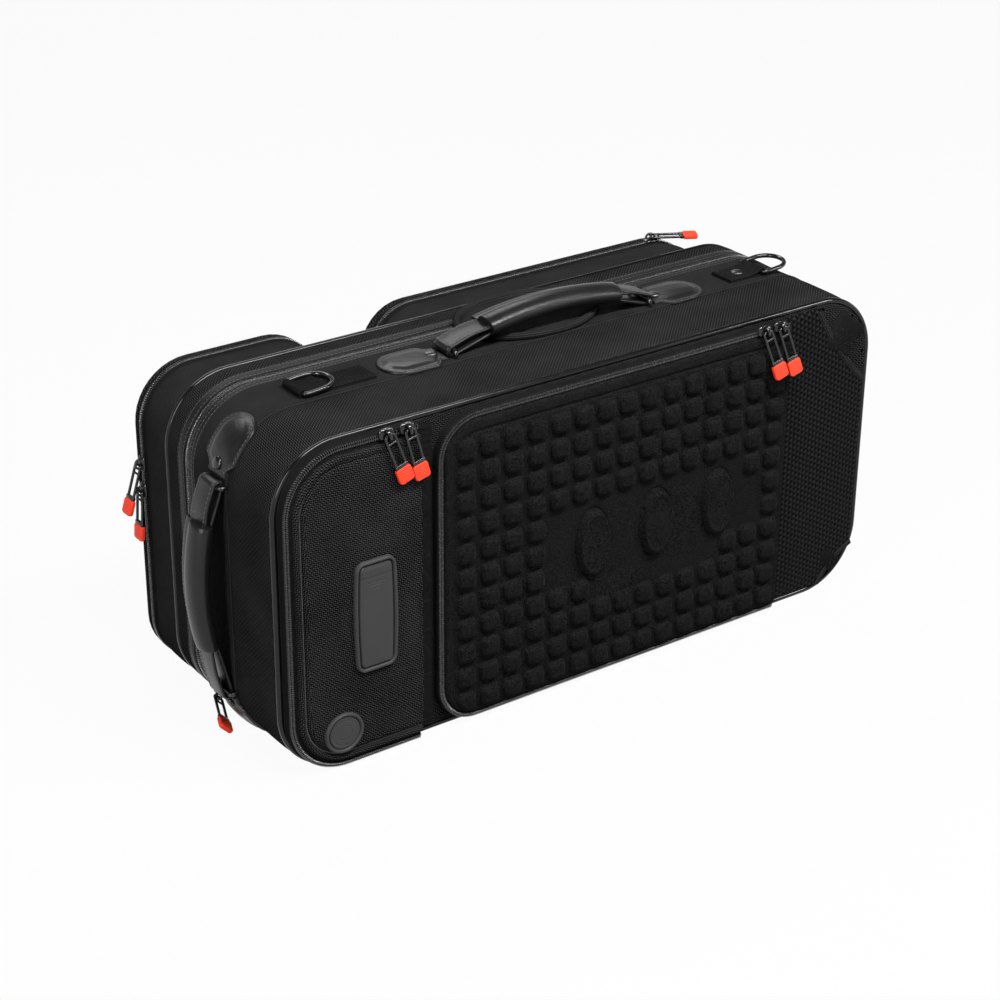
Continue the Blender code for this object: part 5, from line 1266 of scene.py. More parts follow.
def makeWindow():
    low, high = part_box("card_window")
    half, tall = (high.x - low.x) / 2, (high.z - low.z) / 2
    centreX, centreZ = (low.x + high.x) / 2, (low.z + high.z) / 2
    radius = windowLook["radius"]
    x, z = flapGrid((low.x, low.z), (high.x, high.z), (radius, radius), 0.0007)
    inside = rectangleDistance(x, z, (low.x, low.z), (high.x, high.z), (radius, radius))
    frameTop = high.y - low.y - 0.0002
    across = (inside - windowLook["frame"]) / windowLook["frameHalf"]
    height = frameTop * np.sqrt(np.clip(1 - across ** 2, 0, 1)) ** 0.8
    plate = windowLook["plate"] * smoothStep((inside - 0.0040) / 0.0007)
    fromMiddle = np.clip(np.abs(x - centreX) / half, 0, 1)
    plate += 0.0006 * (1 - fromMiddle ** 2) * smoothStep((inside - 0.004) / 0.004)
    down = high.z - z
    bar = np.clip(1 - ((down - windowLook["bar"][0]) / windowLook["bar"][1]) ** 2, 0, 1) ** 0.5
    bar *= smoothStep((inside - 0.0045) / 0.002)
    crease = np.exp(-((down - 0.0134) / 0.0006) ** 2) * smoothStep((inside - 0.004) / 0.001)
    plate += bar * 0.0005 - 0.0004 * crease
    for index, place in enumerate(windowLook["ribs"]):
        reach = smoothStep((0.0085 - 0.0022 * index - np.abs(x - centreX)) / 0.0006)
        plate -= 0.00045 * np.exp(-((down - place) / 0.00042) ** 2) * reach
    floor = windowLook["groove"] * (inside > 0.0005)
    height = np.maximum(np.where(inside > 0.0034, plate, height), floor)
    height = np.minimum(height, high.y - low.y)
    warp = 1 - windowLook["bow"] * ((z - centreZ) / tall) ** 2
    cloth = Cloth()
    bowed = centreX + (x - centreX) * warp
    cloth.grid(xyz(bowed, high.y + 0.0002 - height, z), np.stack([x, z], -1))
    cloth.piece("window_plate", "dark_plastic", "front_cover", ["card_window"],
                (centreX, frontY + 0.1, centreZ), False, 50)


def turnedOn(cloth, centre, axis, profile, steps=40):
    # A profile of (radius, height) turned about an axis through a centre.
    axis = np.array(axis, float)
    first = np.cross(axis, [0.0, 0.0, 1.0] if abs(axis[2]) < 0.9 else [1.0, 0.0, 0.0])
    first /= np.linalg.norm(first)
    second = np.cross(axis, first)
    turns = np.linspace(0, 2 * math.pi, steps + 1)
    profile = np.array(profile)
    ring = first[None, :] * np.cos(turns)[:, None] + second[None, :] * np.sin(turns)[:, None]
    points = np.array(centre) + ring[:, None] * profile[None, :, :1] + axis * profile[None, :, 1:]
    cloth.grid(points, uvGrid(turns * 0.01, profile[:, 0]))


badgeLook = {"bead": 0.0016, "disc": 0.0016, "rings": (0.0060, 0.0105)}


def makeBadge():
    low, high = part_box("round_badge")
    radius, tall = (high.x - low.x) / 2, high.y - low.y
    steps = np.linspace(0, radius, 90)
    wide = badgeLook["bead"]
    bead = tall * np.sqrt(np.clip(1 - ((steps - radius + wide) / wide) ** 2, 0, 1))
    disc = badgeLook["disc"] * smoothStep((radius - 2.1 * wide - steps) / 0.0008)
    for ring in badgeLook["rings"]:
        disc -= 0.0003 * np.exp(-((steps - ring) / 0.0005) ** 2)
    height = np.maximum(np.where(steps > radius - 2 * wide, bead, disc), 0.0005)
    height[-1] = 0.0
    cloth = Cloth()
    centre = ((low.x + high.x) / 2, high.y + 0.0003, (low.z + high.z) / 2)
    turnedOn(cloth, centre, (0, -1, 0), np.stack([steps, height], 1), 64)
    cloth.piece("badge_disc", "dark_plastic", "front_cover", ["round_badge"],
                (centre[0], frontY + 0.1, centre[2]), False, 50)


makeWindow()
makeBadge()
print("window and badge made")


# What lies on the case's outline: patches, rivets, handles and rings

outlinePath = outline(*caseBox, 0.002)
topStart, sideStart = halfLength - case["cornerRadius"], 2 * (halfLength - case["cornerRadius"])
sideStart += case["cornerRadius"] * math.pi / 2


def lengthOnTop(x):
    return topStart - x


def lengthOnSide(z):
    return sideStart + caseHeight - case["cornerRadius"] - z


def onCase(length, y, lift):
    # Points this far along the outline, at a depth y and this far off the case.
    points, normals, steps = outlinePath
    x, z = (np.interp(length, steps, points[:, axis]) for axis in range(2))
    nx, nz = (np.interp(length, steps, normals[:, axis]) for axis in range(2))
    scale = np.hypot(nx, nz)
    nx, nz = nx / scale, nz / scale
    return xyz(x + nx * lift, y, z + nz * lift), xyz(nx, 0.0, nz)


def smoothLine(points, rounds=2, closed=False):
    # Corner cutting: each round replaces a corner by points at a quarter and three quarters.
    points = np.asarray(points, float)
    for _ in range(rounds):
        following = np.roll(points, -1, axis=0)
        pairs = np.stack([points * 0.75 + following * 0.25, points * 0.25 + following * 0.75], 1)
        if closed:
            points = pairs.reshape(-1, points.shape[1])
        else:
            points = np.concatenate([points[:1], pairs[:-1].reshape(-1, points.shape[1]), points[-1:]])
    return points


def evenLine(points, spacing):
    # The same line with points at equal distances.
    steps = walked(points)
    wanted = np.linspace(0, steps[-1], max(int(steps[-1] / spacing), 4) + 1)
    return alongLine(points, steps, wanted)


patchLook = {"thickness": 0.0022, "dome": 0.0022, "halfWidth": 0.0205, "tabHalfWidth": 0.0120,
             "innerReach": 0.0085, "round": 0.36, "neck": 0.74, "neckRun": 0.18, "domeEnd": 0.87,
             "stitchInset": 0.0024, "rivet": 0.0052}


def patchHalfWidth(share):
    # Round outer end, parallel sides, then a soft neck down to the tab.
    ease = np.clip(1 - share / patchLook["round"], 0, 1)
    outer = patchLook["halfWidth"] * np.sqrt(1 - ease * ease)
    run = np.clip((share - patchLook["neck"]) / patchLook["neckRun"], 0, 1)
    neck = (patchLook["tabHalfWidth"] - patchLook["halfWidth"]) * (1 - np.cos(math.pi * run)) / 2
    return outer + neck


def patchStitches(name, rivet, way, outerReach, y):
    # One row that follows the patch's edge at an even inset.
    length, inset = outerReach + patchLook["innerReach"], patchLook["stitchInset"]
    turns = np.linspace(0, math.pi / 2, 14)
    smaller = 1 - inset / patchLook["halfWidth"]
    straight = np.linspace(patchLook["round"] + 0.02, 1 - inset / length, 26)
    shares = np.concatenate([patchLook["round"] * (1 - smaller * np.cos(turns)), straight])
    sides = np.concatenate([patchLook["halfWidth"] * smaller * np.sin(turns),
                            patchHalfWidth(straight) - inset])
    shares, sides = np.concatenate([shares[::-1], shares]), np.concatenate([-sides[::-1], sides])
    row = onCase(rivet + way * (outerReach - shares * length), y + sides, patchLook["thickness"])
    stitches(name + "_stitches", [row], "base")


def makeRivet(name, look, centre, axis, profile, inside):
    head = Cloth()
    turnedOn(head, centre, axis, profile, 32)
    head.piece(name, look, "base", (), inside)


def makePatch(name, node, rivet, way, outerReach, y, rivetLook):
    # rivet is the place along the outline; way is +1 where the round end lies further along.
    length = outerReach + patchLook["innerReach"]
    shares = np.concatenate([[0.0, 0.0006, 0.003, 0.008, 0.016], np.linspace(0.028, 0.97, 46),
                             [0.985, 0.995, 1.0]])
    across = np.sin(np.linspace(-1, 1, 41) * math.pi / 2)
    share, side = np.meshgrid(shares, across, indexing="ij")
    half = patchHalfWidth(share)
    ease = np.clip(1 - share / patchLook["round"], 0, 1)
    reach = np.sqrt(ease ** 2 + side ** 2 * (1 - ease ** 2))
    inside = np.where(share < patchLook["round"], (1 - reach) * patchLook["halfWidth"],
                      (1 - np.abs(side)) * half)
    inside = np.minimum(inside, (1 - share) * length)
    edge = np.clip(inside / 0.0009, 0, 1)
    lift = patchLook["thickness"] * np.sqrt(1 - (1 - edge) ** 2)
    lift -= 0.00040 * np.exp(-((inside - patchLook["stitchInset"]) / 0.00045) ** 2)
    padding = (1 - side ** 2) * np.sqrt(np.sin(math.pi * np.clip(share / patchLook["domeEnd"], 0, 1)))
    lift += patchLook["dome"] * padding * smoothStep((inside - 0.0034) / 0.006)
    lift += 0.0001 * ripple(share * 0.1, side * 0.03, 81 + len(name), 0.02) * smoothStep(inside / 0.005)
    place = rivet + way * (outerReach - share * length)
    points, _ = onCase(place, y + side * half, lift + 0.0002)
    cloth = Cloth()
    cloth.grid(points, np.stack([share * length, side * half], -1))
    middle, _ = onCase(np.array([rivet]), y, -0.05)
    cloth.piece(name, "leather", "base", [node], middle[0])
    patchStitches(name, rivet, way, outerReach, y)
    centre, axis = onCase(np.array([rivet]), y, patchLook["thickness"] + patchLook["dome"] * 0.75)
    radius = patchLook["rivet"]
    profile = [(0.0, 0.0016), (radius * 0.35, 0.00155), (radius * 0.7, 0.0012), (radius * 0.93, 0.0006),
               (radius, 0.0001), (radius, -0.0010)]
    makeRivet(name + "_rivet", rivetLook, centre[0], axis[0], profile, middle[0])


stapleLook = {"wire": 0.0017, "height": 0.0062, "halfWidth": 0.0135, "corner": 0.0034}


def makeStaple(name, node, length, y):
    # A wire bar across the handle's eye, its feet in the case.
    half, high, corner = stapleLook["halfWidth"], stapleLook["height"], stapleLook["corner"]
    turns = np.linspace(0, math.pi / 2, 9)
    left = [(-half, 0.0002), (-half, high - corner)]
    arcs = [(-half + corner * (1 - math.cos(turn)), high - corner + corner * math.sin(turn))
            for turn in turns]
    line = np.array(left + arcs)
    line = evenLine(np.concatenate([line, line[::-1] * [-1, 1]]), 0.0010)
    places, outs = onCase(np.full(len(line), length), y + line[:, 0], line[:, 1])
    cloth = Cloth()
    tubeAlong(cloth, places, np.cross(outs, [0.0, 1.0, 0.0]), stapleLook["wire"], 12)
    cloth.piece(name, "black_metal", "base", [node], None, True)


def frameMap(kind):
    # u runs along the handle, w across it and h away from the case.
    handle = handles[kind]
    if kind == "top":
        return lambda u, w, h: xyz(handle["centre"] + u, handle["y"] + w, caseHeight + h)
    return lambda u, w, h: xyz(-halfLength - h, handle["y"] + w, handle["centre"] + u)


handles = {
    "top": {"centre": 0.0119, "y": 0.0020, "rivets": 0.2193, "length": 0.124, "rise": 0.0225,
            "shift": 0.0021, "reach": 0.0455},
    "side": {"centre": 0.1352, "y": -0.0035, "rivets": 0.2025, "length": 0.101, "rise": 0.0235,
             "shift": 0.0070, "reach": 0.0420},
    "sag": 0.006, "strapWidth": 0.022, "strapThickness": 0.0024, "loopInset": 0.0146, "slack": 0.0016,
    # The grip's section in millimetres: across it and away from the case
    "grip": ((16.0, 0.7), (15.9, 1.9), (13.0, 2.5), (9.6, 2.6), (7.4, 2.3), (6.0, 3.9), (3.6, 6.8),
             (-0.5, 8.2), (-6.0, 8.2), (-11.0, 6.9), (-14.8, 3.9), (-16.0, 0.0), (-14.8, -3.9),
             (-11.0, -6.9), (-6.0, -8.2), (-0.5, -8.0), (3.8, -6.2), (6.4, -3.6), (8.6, -2.0),
             (13.0, -1.7), (15.8, -1.0)),
}


def strapEndLine(reach, endHeight, loopU):
    eye = stapleLook["wire"] + handles["strapThickness"] / 2 + case["gap"] + handles["slack"] / 2
    eyeHeight = stapleLook["height"] - handles["slack"] / 2
    start = (reach + 0.0006, endHeight - 0.0165 * 0.30)
    middle = ((loopU + start[0]) / 2, (stapleLook["height"] + start[1]) * 0.37)
    turns = np.radians(np.linspace(-75, 90, 12))
    around = [(loopU + eye * math.cos(turn), eyeHeight + eye * math.sin(turn)) for turn in turns]
    wayUp = ((loopU + reach) / 2, (eyeHeight + eye + endHeight) / 2 + eye / 2)
    return [start, middle] + around + [wayUp]


def gripLine(handle, steps=34):
    share = np.linspace(-1, 1, steps)
    return np.stack([handle["shift"] + share * handle["length"] / 2,
                     handle["rise"] - handles["sag"] * share ** 2], 1)


def sideNormals(line):
    tangents = units(np.gradient(line, axis=0))
    return np.stack([-tangents[:, 1], tangents[:, 0]], 1)


def bandAlong(cloth, line, width, thickness, place):
    # A flat strap: its side view is line, its section a rounded rectangle.
    normals = sideNormals(line)
    corner = thickness * 0.45
    section = []
    for w, t, start in ((1, 1, 0), (-1, 1, 90), (-1, -1, 180), (1, -1, 270)):
        for turn in np.radians(start + np.array([0, 30, 60, 90])):
            section.append((w * (width / 2 - corner) + corner * math.cos(turn),
                            t * (thickness / 2 - corner) + corner * math.sin(turn)))
    section = np.array(section + section[:1])
    u = line[:, None, 0] + normals[:, None, 0] * section[None, :, 1]
    h = line[:, None, 1] + normals[:, None, 1] * section[None, :, 1]
    w = section[None, :, 0] + np.zeros_like(u)
    cloth.tube(place(u, w, h), uvGrid(walked(line), section[:, 0] + section[:, 1]))


def placedOuts(place, line, normals):
    tip = line + normals
    return place(tip[:, 0], 0.0, tip[:, 1]) - place(line[:, 0], 0.0, line[:, 1])


def makeStrap(kind, body):
    # The strap from one eye through the grip to the other, and two rows of stitches on each
    # stretch that shows.
    handle, place = handles[kind], frameMap(kind)
    loopU = handle["rivets"] / 2 - handles["loopInset"]
    endHeight = handle["rise"] - handles["sag"]
    low = strapEndLine(handle["length"] / 2 - handle["shift"], endHeight, loopU)
    high = strapEndLine(handle["length"] / 2 + handle["shift"], endHeight, loopU)
    line = [(-u, h) for u, h in low] + gripLine(handle, 9).tolist() + high[::-1]
    line = evenLine(smoothLine(line, 2), 0.0014)
    strap = Cloth()
    bandAlong(strap, line, handles["strapWidth"], handles["strapThickness"], place)
    piece = strap.piece(kind + "_strap_leather", "leather", body, [kind + "_handle_strap"], None, True)
    normals = sideNormals(line)
    rows = []
    top = line + normals * handles["strapThickness"] / 2
    outside = np.abs(line[:, 0] - handle["shift"]) > handle["length"] / 2 - 0.002
    for part in (outside & (line[:, 0] < 0), outside & (line[:, 0] > 0)):
        outs = placedOuts(place, line[part], normals[part])
        for side in (-1, 1):
            w = side * (handles["strapWidth"] / 2 - 0.0022)
            rows.append((place(top[part, 0], w, top[part, 1]), outs))
    return piece, stitches(kind + "_strap_stitches", rows, body)


def makeGrip(kind, body):
    # The padded grip's section, drawn along its line and a little smaller towards both ends.
    handle, place = handles[kind], frameMap(kind)
    section = smoothLine(np.array(handles["grip"]) / 1000, 2, True)
    section = np.concatenate([section, section[:1]])
    core = gripLine(handle)
    across = sideNormals(core)
    bulge = 1 - 0.06 * np.abs(np.linspace(-1, 1, len(core))) ** 8
    centres = np.concatenate([[core[0] - (core[1] - core[0]) * 0.22], core,
                              [core[-1] + (core[-1] - core[-2]) * 0.22]])
    normals = np.concatenate([across[:1], across, across[-1:]])
    scale = np.concatenate([[0.88], bulge, [0.88]])[:, None]
    h = section[None, :, 1] * scale
    w = section[None, :, 0] * (1 - (1 - scale) * 0.3)
    points = place(centres[:, None, 0] + normals[:, None, 0] * h, w,
                   centres[:, None, 1] + normals[:, None, 1] * h)
    grip = Cloth()
    grip.grid(points, uvGrid(walked(centres), walked(section)))
    for ring in (points[0, :-1], points[-1, :-1][::-1]):
        middle = ring.mean(0)
        closed = np.concatenate([ring, ring[:1]])
        grip.grid(np.stack([closed, middle + (closed - middle) * 0.55]))
        grip.fan(middle + (ring - middle) * 0.55)
    piece = grip.piece(kind + "_grip_leather", "leather", body, [kind + "_handle_grip"], None, True)
    inner, outs = core[1:-1], placedOuts(place, core[1:-1], across[1:-1])
    flange = inner + across[1:-1] * 0.00245
    stitches(kind + "_grip_stitches", [(place(flange[:, 0], 0.0094, flange[:, 1]), outs),
                                       (place(flange[:, 0], 0.0140, flange[:, 1] - 0.0003), outs)], body)


def makeHandleEnds(kind, names, onLine, rivetLook):
    # A leather patch with its rivet at each end of a handle, and the wire bar in the strap's eye.
    handle = handles[kind]
    for name, side in zip(names, (-1, 1)):
        away = handle["rivets"] / 2
        makePatch(name + "_leather", name + "_patch", onLine(handle["centre"] + side * away), -side,
                  handle["reach"], handle["y"], rivetLook)
        makeStaple(name + "_staple", name + "_loop",
                   onLine(handle["centre"] + side * (away - handles["loopInset"])), handle["y"])


def makeHandles():
    makeHandleEnds("top", ("top_left", "top_right"), lengthOnTop, "rivet_metal")
    makeHandleEnds("side", ("lower_side", "upper_side"), lengthOnSide, "black_metal")
    # The top strap bends between two bodies, so it rides neither.
    for item in makeStrap("top", None):
        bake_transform(item)
    makeGrip("top", "top_handle")
    makeStrap("side", "side_handle")
    makeGrip("side", "side_handle")


knuckleLook = {"cord": 0.0031, "disc": 0.0040, "seam": 0.0022, "foot": 0.0031}


def makeKnucklePad():
    # An oval padded disc with a thick fabric cord round it, lying over the zip.
    low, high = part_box("knuckle_pad")
    halfX, halfY = (high.x - low.x) / 2, (high.y - low.y) / 2
    centre = ((low.x + high.x) / 2, (low.y + high.y) / 2)
    turns = np.linspace(0, 2 * math.pi, 121)
    points = np.stack([centre[0] + halfX * np.cos(turns), centre[1] + halfY * np.sin(turns)], 1)
    normals = units(np.stack([np.cos(turns) / halfX, np.sin(turns) / halfY], 1))
    cord, foot = knuckleLook["cord"], knuckleLook["foot"]
    profile = [(-cord + cord * math.cos(turn), cord + cord * math.sin(turn))
               for turn in np.linspace(-math.pi * 0.42, math.pi, 16)]
    profile += [(-cord - cord - 0.0006, knuckleLook["seam"]), (-cord - cord - 0.0022, foot)]
    surface, uv = swept((points, normals, walked(points)), profile)
    cloth = Cloth()
    cloth.grid(xyz(surface[..., 0], surface[..., 2], low.z + surface[..., 1]), uv)
    rim = surface[:, -1][:, [0, 2]]
    shares = np.linspace(1, 0, 26)
    inner = np.array(centre) + (rim - centre)[:, None] * shares[None, :, None]
    away = (1 - shares) * halfY
    height = (foot + (knuckleLook["disc"] - foot) * smoothStep(away / 0.008)
              + 0.0009 * smoothStep(away / 0.03))
    uneven = 0.0003 * ripple(inner[..., 0], inner[..., 1], 91, 0.05) * smoothStep(away / 0.01)
    cloth.grid(xyz(inner[..., 0], inner[..., 1], low.z + (height[None, :] + uneven)), inner)
    pad = cloth.piece("knuckle_cloth", "canvas", "base", ["knuckle_pad"],
                      (centre[0], centre[1], low.z - 0.1), False, 70)


ringLook = {"wire": 0.0019, "width": 0.0340, "reach": 0.0320, "tilt": 4.0, "y": 0.0035, "barHeight": 0.0037}
ringBars = {"right": 0.2290, "left": -0.2180}
tabLook = {"width": 0.0250, "thickness": 0.0012, "lead": 0.0064, "wrap": 100,
           "right": (0.0340, 1), "left": (0.0640, -1), "rivetBack": 0.0170}


def makeRing(side):
    half, bow = ringLook["width"] / 2 - ringLook["wire"], ringLook["reach"] - ringLook["wire"]
    turns = np.radians(np.linspace(82, -82, 15))
    line = [(0.0, -half + 0.003), (0.0, half - 0.003), (0.0006, half - 0.0008), (0.003, half)]
    line += [(bow - half + half * math.cos(turn), half * math.sin(turn)) for turn in turns]
    line += [(0.003, -half), (0.0006, -half + 0.0008)]
    line = smoothLine(line, 2, True)
    line = np.concatenate([line, line[:1]])
    tilt = math.radians(ringLook["tilt"])
    places = xyz(ringBars[side] + line[:, 0] * math.cos(tilt), ringLook["y"] + line[:, 1],
                 caseHeight + ringLook["barHeight"] + line[:, 0] * math.sin(tilt))
    up = np.tile([-math.sin(tilt), 0.0, math.cos(tilt)], (len(places), 1))
    cloth = Cloth()
    tubeAlong(cloth, places, up, ringLook["wire"], 14, 1.0, False)
    cloth.piece("ring_wire_" + side, "black_metal", "ring_" + side, ["d_ring_" + side], None, True)


def makeTab(side):
    length, way = tabLook[side]
    eye = ringLook["wire"] + tabLook["thickness"] / 2 + 1.5 * case["gap"]
    low = case["gap"] + tabLook["thickness"] / 2
    top = low + tabLook["thickness"] + case["gap"]
    turns = np.radians(np.linspace(-tabLook["wrap"], tabLook["wrap"], 15))
    line = [(-length, low), (-tabLook["lead"], low)]
    line += [(eye * math.cos(turn), ringLook["barHeight"] + eye * math.sin(turn)) for turn in turns]
    line += [(-tabLook["lead"], top), (-length, top)]
    line = evenLine(smoothLine(line, 2), 0.0012)

    def place(u, w, h):
        return xyz(ringBars[side] + way * u, ringLook["y"] + w, caseHeight + h)

    cloth = Cloth()
    bandAlong(cloth, line, tabLook["width"], tabLook["thickness"], place)
    cloth.piece(side + "_tab_webbing", "webbing", "base", [side + "_d_ring_tab"], None, True)
    half = tabLook["width"] / 2 - 0.0026
    near, far = -tabLook["lead"] - 0.0025, -length + 0.0025
    level = caseHeight + top + tabLook["thickness"] / 2
    spots = [(near, -half), (near, half), (far, half), (far, -half)]
    lines = []
    for first, last in ((0, 1), (1, 2), (2, 3), (3, 0), (0, 2), (1, 3)):
        start, stop = spots[first], spots[last]
        share = np.linspace(0, 1, 20)
        u, w = (start[axis] + (stop[axis] - start[axis]) * share for axis in range(2))
        lines.append((place(u, w, level - caseHeight), np.tile([0.0, 0.0, 1.0], (20, 1))))
    stitches(side + "_tab_stitches", lines, "base", "canvas")
    if side == "right":
        centre = (ringBars[side] - tabLook["rivetBack"], ringLook["y"], level)
        profile = [(0.0, 0.0016), (0.0018, 0.00155), (0.0036, 0.0012), (0.0048, 0.0006), (0.0052, 0.0001),
                   (0.0052, -0.0008)]
        makeRivet("tab_rivet", "rivet_metal", centre, (0, 0, 1), profile, (centre[0], centre[1], 0))


makeHandles()
makeKnucklePad()
for side in ("right", "left"):
    makeRing(side)
    makeTab(side)
print("handles and rings made")


# Zip sliders and their pulls

pullLook = {"length": 0.0285, "width": 0.0104, "wire": 0.0022, "corner": 0.0026, "pivot": 0.0044,
            "bridge": 0.0072, "tip": (0.0130, 0.0130, 0.0038), "tipCorner": 0.0026, "edge": 0.0011,
            "ridge": (0.0062, 0.00100, 0.00030), "ridges": (-0.0022, 0.0, 0.0022)}
sliderLook = {"length": 0.0135, "width": 0.0092, "thickness": 0.0028, "arch": 0.0040,
              "archWidth": 0.0026, "archThickness": 0.0018}
mainTurn = math.radians(225)
mainCos, mainSin = math.cos(mainTurn), math.sin(mainTurn)
mainSeat = (-halfLength + case["cornerRadius"] * (1 + mainCos) + case["gap"] * mainCos, 0.0388,
            case["cornerRadius"] * (1 + mainSin) + case["gap"] * mainSin)
# Each zip slider: its seat, the way it travels, the way out of the case and the way its pull lies.
sliders = {
    "pocket_a": ((-0.1972, -0.0881, 0.2685), (1, 0, 0), (0, -1, 0), (0.0140, -0.0026, -0.0400)),
    "pocket_b": ((-0.1796, -0.0881, 0.2685), (1, 0, 0), (0, -1, 0), (0.0095, -0.0026, -0.0400)),
    "pad_a": ((0.1625, -0.0881, 0.2649), (1, 0, 0), (0, -1, 0), (0.0112, -0.0090, -0.0400)),
    "pad_b": ((0.1788, -0.0881, 0.2649), (1, 0, 0), (0, -1, 0), (0.0100, -0.0090, -0.0400)),
    "right_rear": ((0.2170, 0.1250, 0.2653), (1, 0, 0), (0, 0, 1), (0.0270, -0.0150, 0)),
    "left_rear_a": ((-0.2883, 0.1200, 0.1880), (0, 0, 1), (-1, 0, 0), (-0.0130, 0, -0.0415)),
    "left_rear_b": ((-0.2883, 0.1200, 0.1650), (0, 0, 1), (-1, 0, 0), (-0.0030, 0, -0.0415)),
    "main": (mainSeat, (-mainSin, 0, mainCos), (mainCos, 0, mainSin), (-0.0150, -0.0400, -0.0060)),
}


def unit(vector):
    vector = np.asarray(vector, float)
    return vector / np.linalg.norm(vector)


def axesPlace(origin, first, second, third):
    return lambda u, w, h: origin + (np.multiply.outer(u, first) + np.multiply.outer(w, second)
                                     + np.multiply.outer(h, third))


def roundedRing(halfLong, halfWide, corner, steps=6):
    # The outline of a rounded rectangle round the origin, counter-clockwise.
    corner = min(corner, halfLong * 0.98, halfWide * 0.98)
    turns = np.linspace(0, math.pi / 2, steps)
    ring = []
    for index, (x, y) in enumerate(((1, 1), (-1, 1), (-1, -1), (1, -1))):
        turn = turns + index * math.pi / 2
        ring.append(np.stack([x * (halfLong - corner) + corner * np.cos(turn),
                              y * (halfWide - corner) + corner * np.sin(turn)], 1))
    ring = np.concatenate(ring)
    return np.concatenate([ring, ring[:1]])


def slab(cloth, size, corner, levels, place, middle=0.0):
    # A rounded block from rings: each level is (how far in from the edge, height).
    rings = []
    for inset, height in levels:
        ring = roundedRing(size[0] / 2 - inset, size[1] / 2 - inset, max(corner - inset, 0.0004))
        rings.append(place(middle + ring[:, 0], ring[:, 1], np.full(len(ring), height)))
    cloth.tube(np.stack(rings))


def makeSlider(name, seat, travel, normal, way):
    travel, normal, way = unit(travel), unit(normal), unit(way)
    across = np.cross(normal, travel)
    seat = np.asarray(seat, float)
    body = Cloth()
    place = axesPlace(seat, travel, across, normal)
    size, high = (sliderLook["length"], sliderLook["width"]), sliderLook["thickness"]
    slab(body, size, 0.0032, [(0.0006, 0), (0.0001, 0.0003), (0, 0.0007), (0.0002, 0.0014), (0.0010, 0.0020),
                              (0.0015, high - 0.0004), (0.0020, high - 0.0001), (0.0026, high)], place)
    inPlane = unit(way - normal * np.dot(way, normal))
    archPlace = axesPlace(seat, inPlane, np.cross(normal, inPlane), normal)
    reach = sliderLook["arch"]
    turns = np.linspace(0, math.pi, 17)
    line = [(reach, high - 0.0014)]
    line += [(reach * math.cos(turn), high + reach * math.sin(turn)) for turn in turns]
    line += [(-reach, high - 0.0014)]
    bandAlong(body, np.array(line), sliderLook["archWidth"], sliderLook["archThickness"], archPlace)
    body.piece(name + "_slider_metal", "black_metal", name + "_slider", [name + "_slider"], None, True, 50)
    makePull(name, seat + normal * pullLook["pivot"], way, normal)


def makePull(name, pivot, way, normal):
    hinge = unit(np.cross(normal, way))
    up = np.cross(way, hinge)
    place = axesPlace(pivot, way, hinge, up)
    side = axesPlace(pivot, way, up, hinge)
    half = pullLook["width"] / 2 - pullLook["wire"] / 2
    far, wire, bend = pullLook["length"] + 0.003, pullLook["wire"], pullLook["corner"]
    turns = np.linspace(math.pi / 2, math.pi, 8)
    near = [(bend + bend * math.cos(turn), half - bend + bend * math.sin(turn)) for turn in turns]
    line = [(far, half)] + near
    line += [(u, -w) for u, w in line[::-1]]
    frameBody = Cloth()
    bandAlong(frameBody, evenLine(np.array(line), 0.0009), wire, wire, side)
    bridge = [(pullLook["bridge"], -half), (pullLook["bridge"], half)]
    bandAlong(frameBody, np.array(bridge), wire * 0.75, wire * 0.8, side)
    collar = (0.0034, pullLook["width"] + 0.0006)
    slab(frameBody, collar, 0.0008, [(0.0004, -0.0014), (0, -0.0010), (0, 0.0010), (0.0004, 0.0014)], place,
         pullLook["length"] - 0.0011)
    frameBody.piece(name + "_pull_metal", "black_metal", name + "_pull", [name + "_pull"], None, True, 50)
    tip = Cloth()
    length, width, thick = pullLook["tip"]
    edge = pullLook["edge"]
    bevel = [(edge, 0.0), (edge * 0.45, edge * 0.12), (edge * 0.1, edge * 0.45), (0, edge)]
    levels = [(inset, rise - thick / 2) for inset, rise in bevel]
    levels += [(inset, thick / 2 - rise) for inset, rise in bevel[::-1]]
    slab(tip, (length, width), pullLook["tipCorner"], levels, place, pullLook["length"] + length / 2)
    tip.piece(name + "_pull_tip", "red_rubber", name + "_pull", (), None, True, 50)
    grip = Cloth()
    for u in pullLook["ridges"]:
        for face in (-1, 1):
            centre = pivot + way * (pullLook["length"] + length / 2 + u) + up * face * thick / 2
            bumps(grip, centre[None], hinge[None], up[None] * face, *pullLook["ridge"])
    grip.piece(name + "_pull_ridges", "red_rubber", name + "_pull", (), None, False, 50)


for name, (seat, travel, normal, way) in sliders.items():
    makeSlider(name, seat, travel, normal, way)
print("sliders and pulls made")


# Inside: plush linings and the fitted bed

trayLook = {"wall": 0.0036, "roundEdge": 0.0018, "fillet": 0.014, "chamfer": 0.007, "puff": 0.0010,
            "spacing": 0.007}


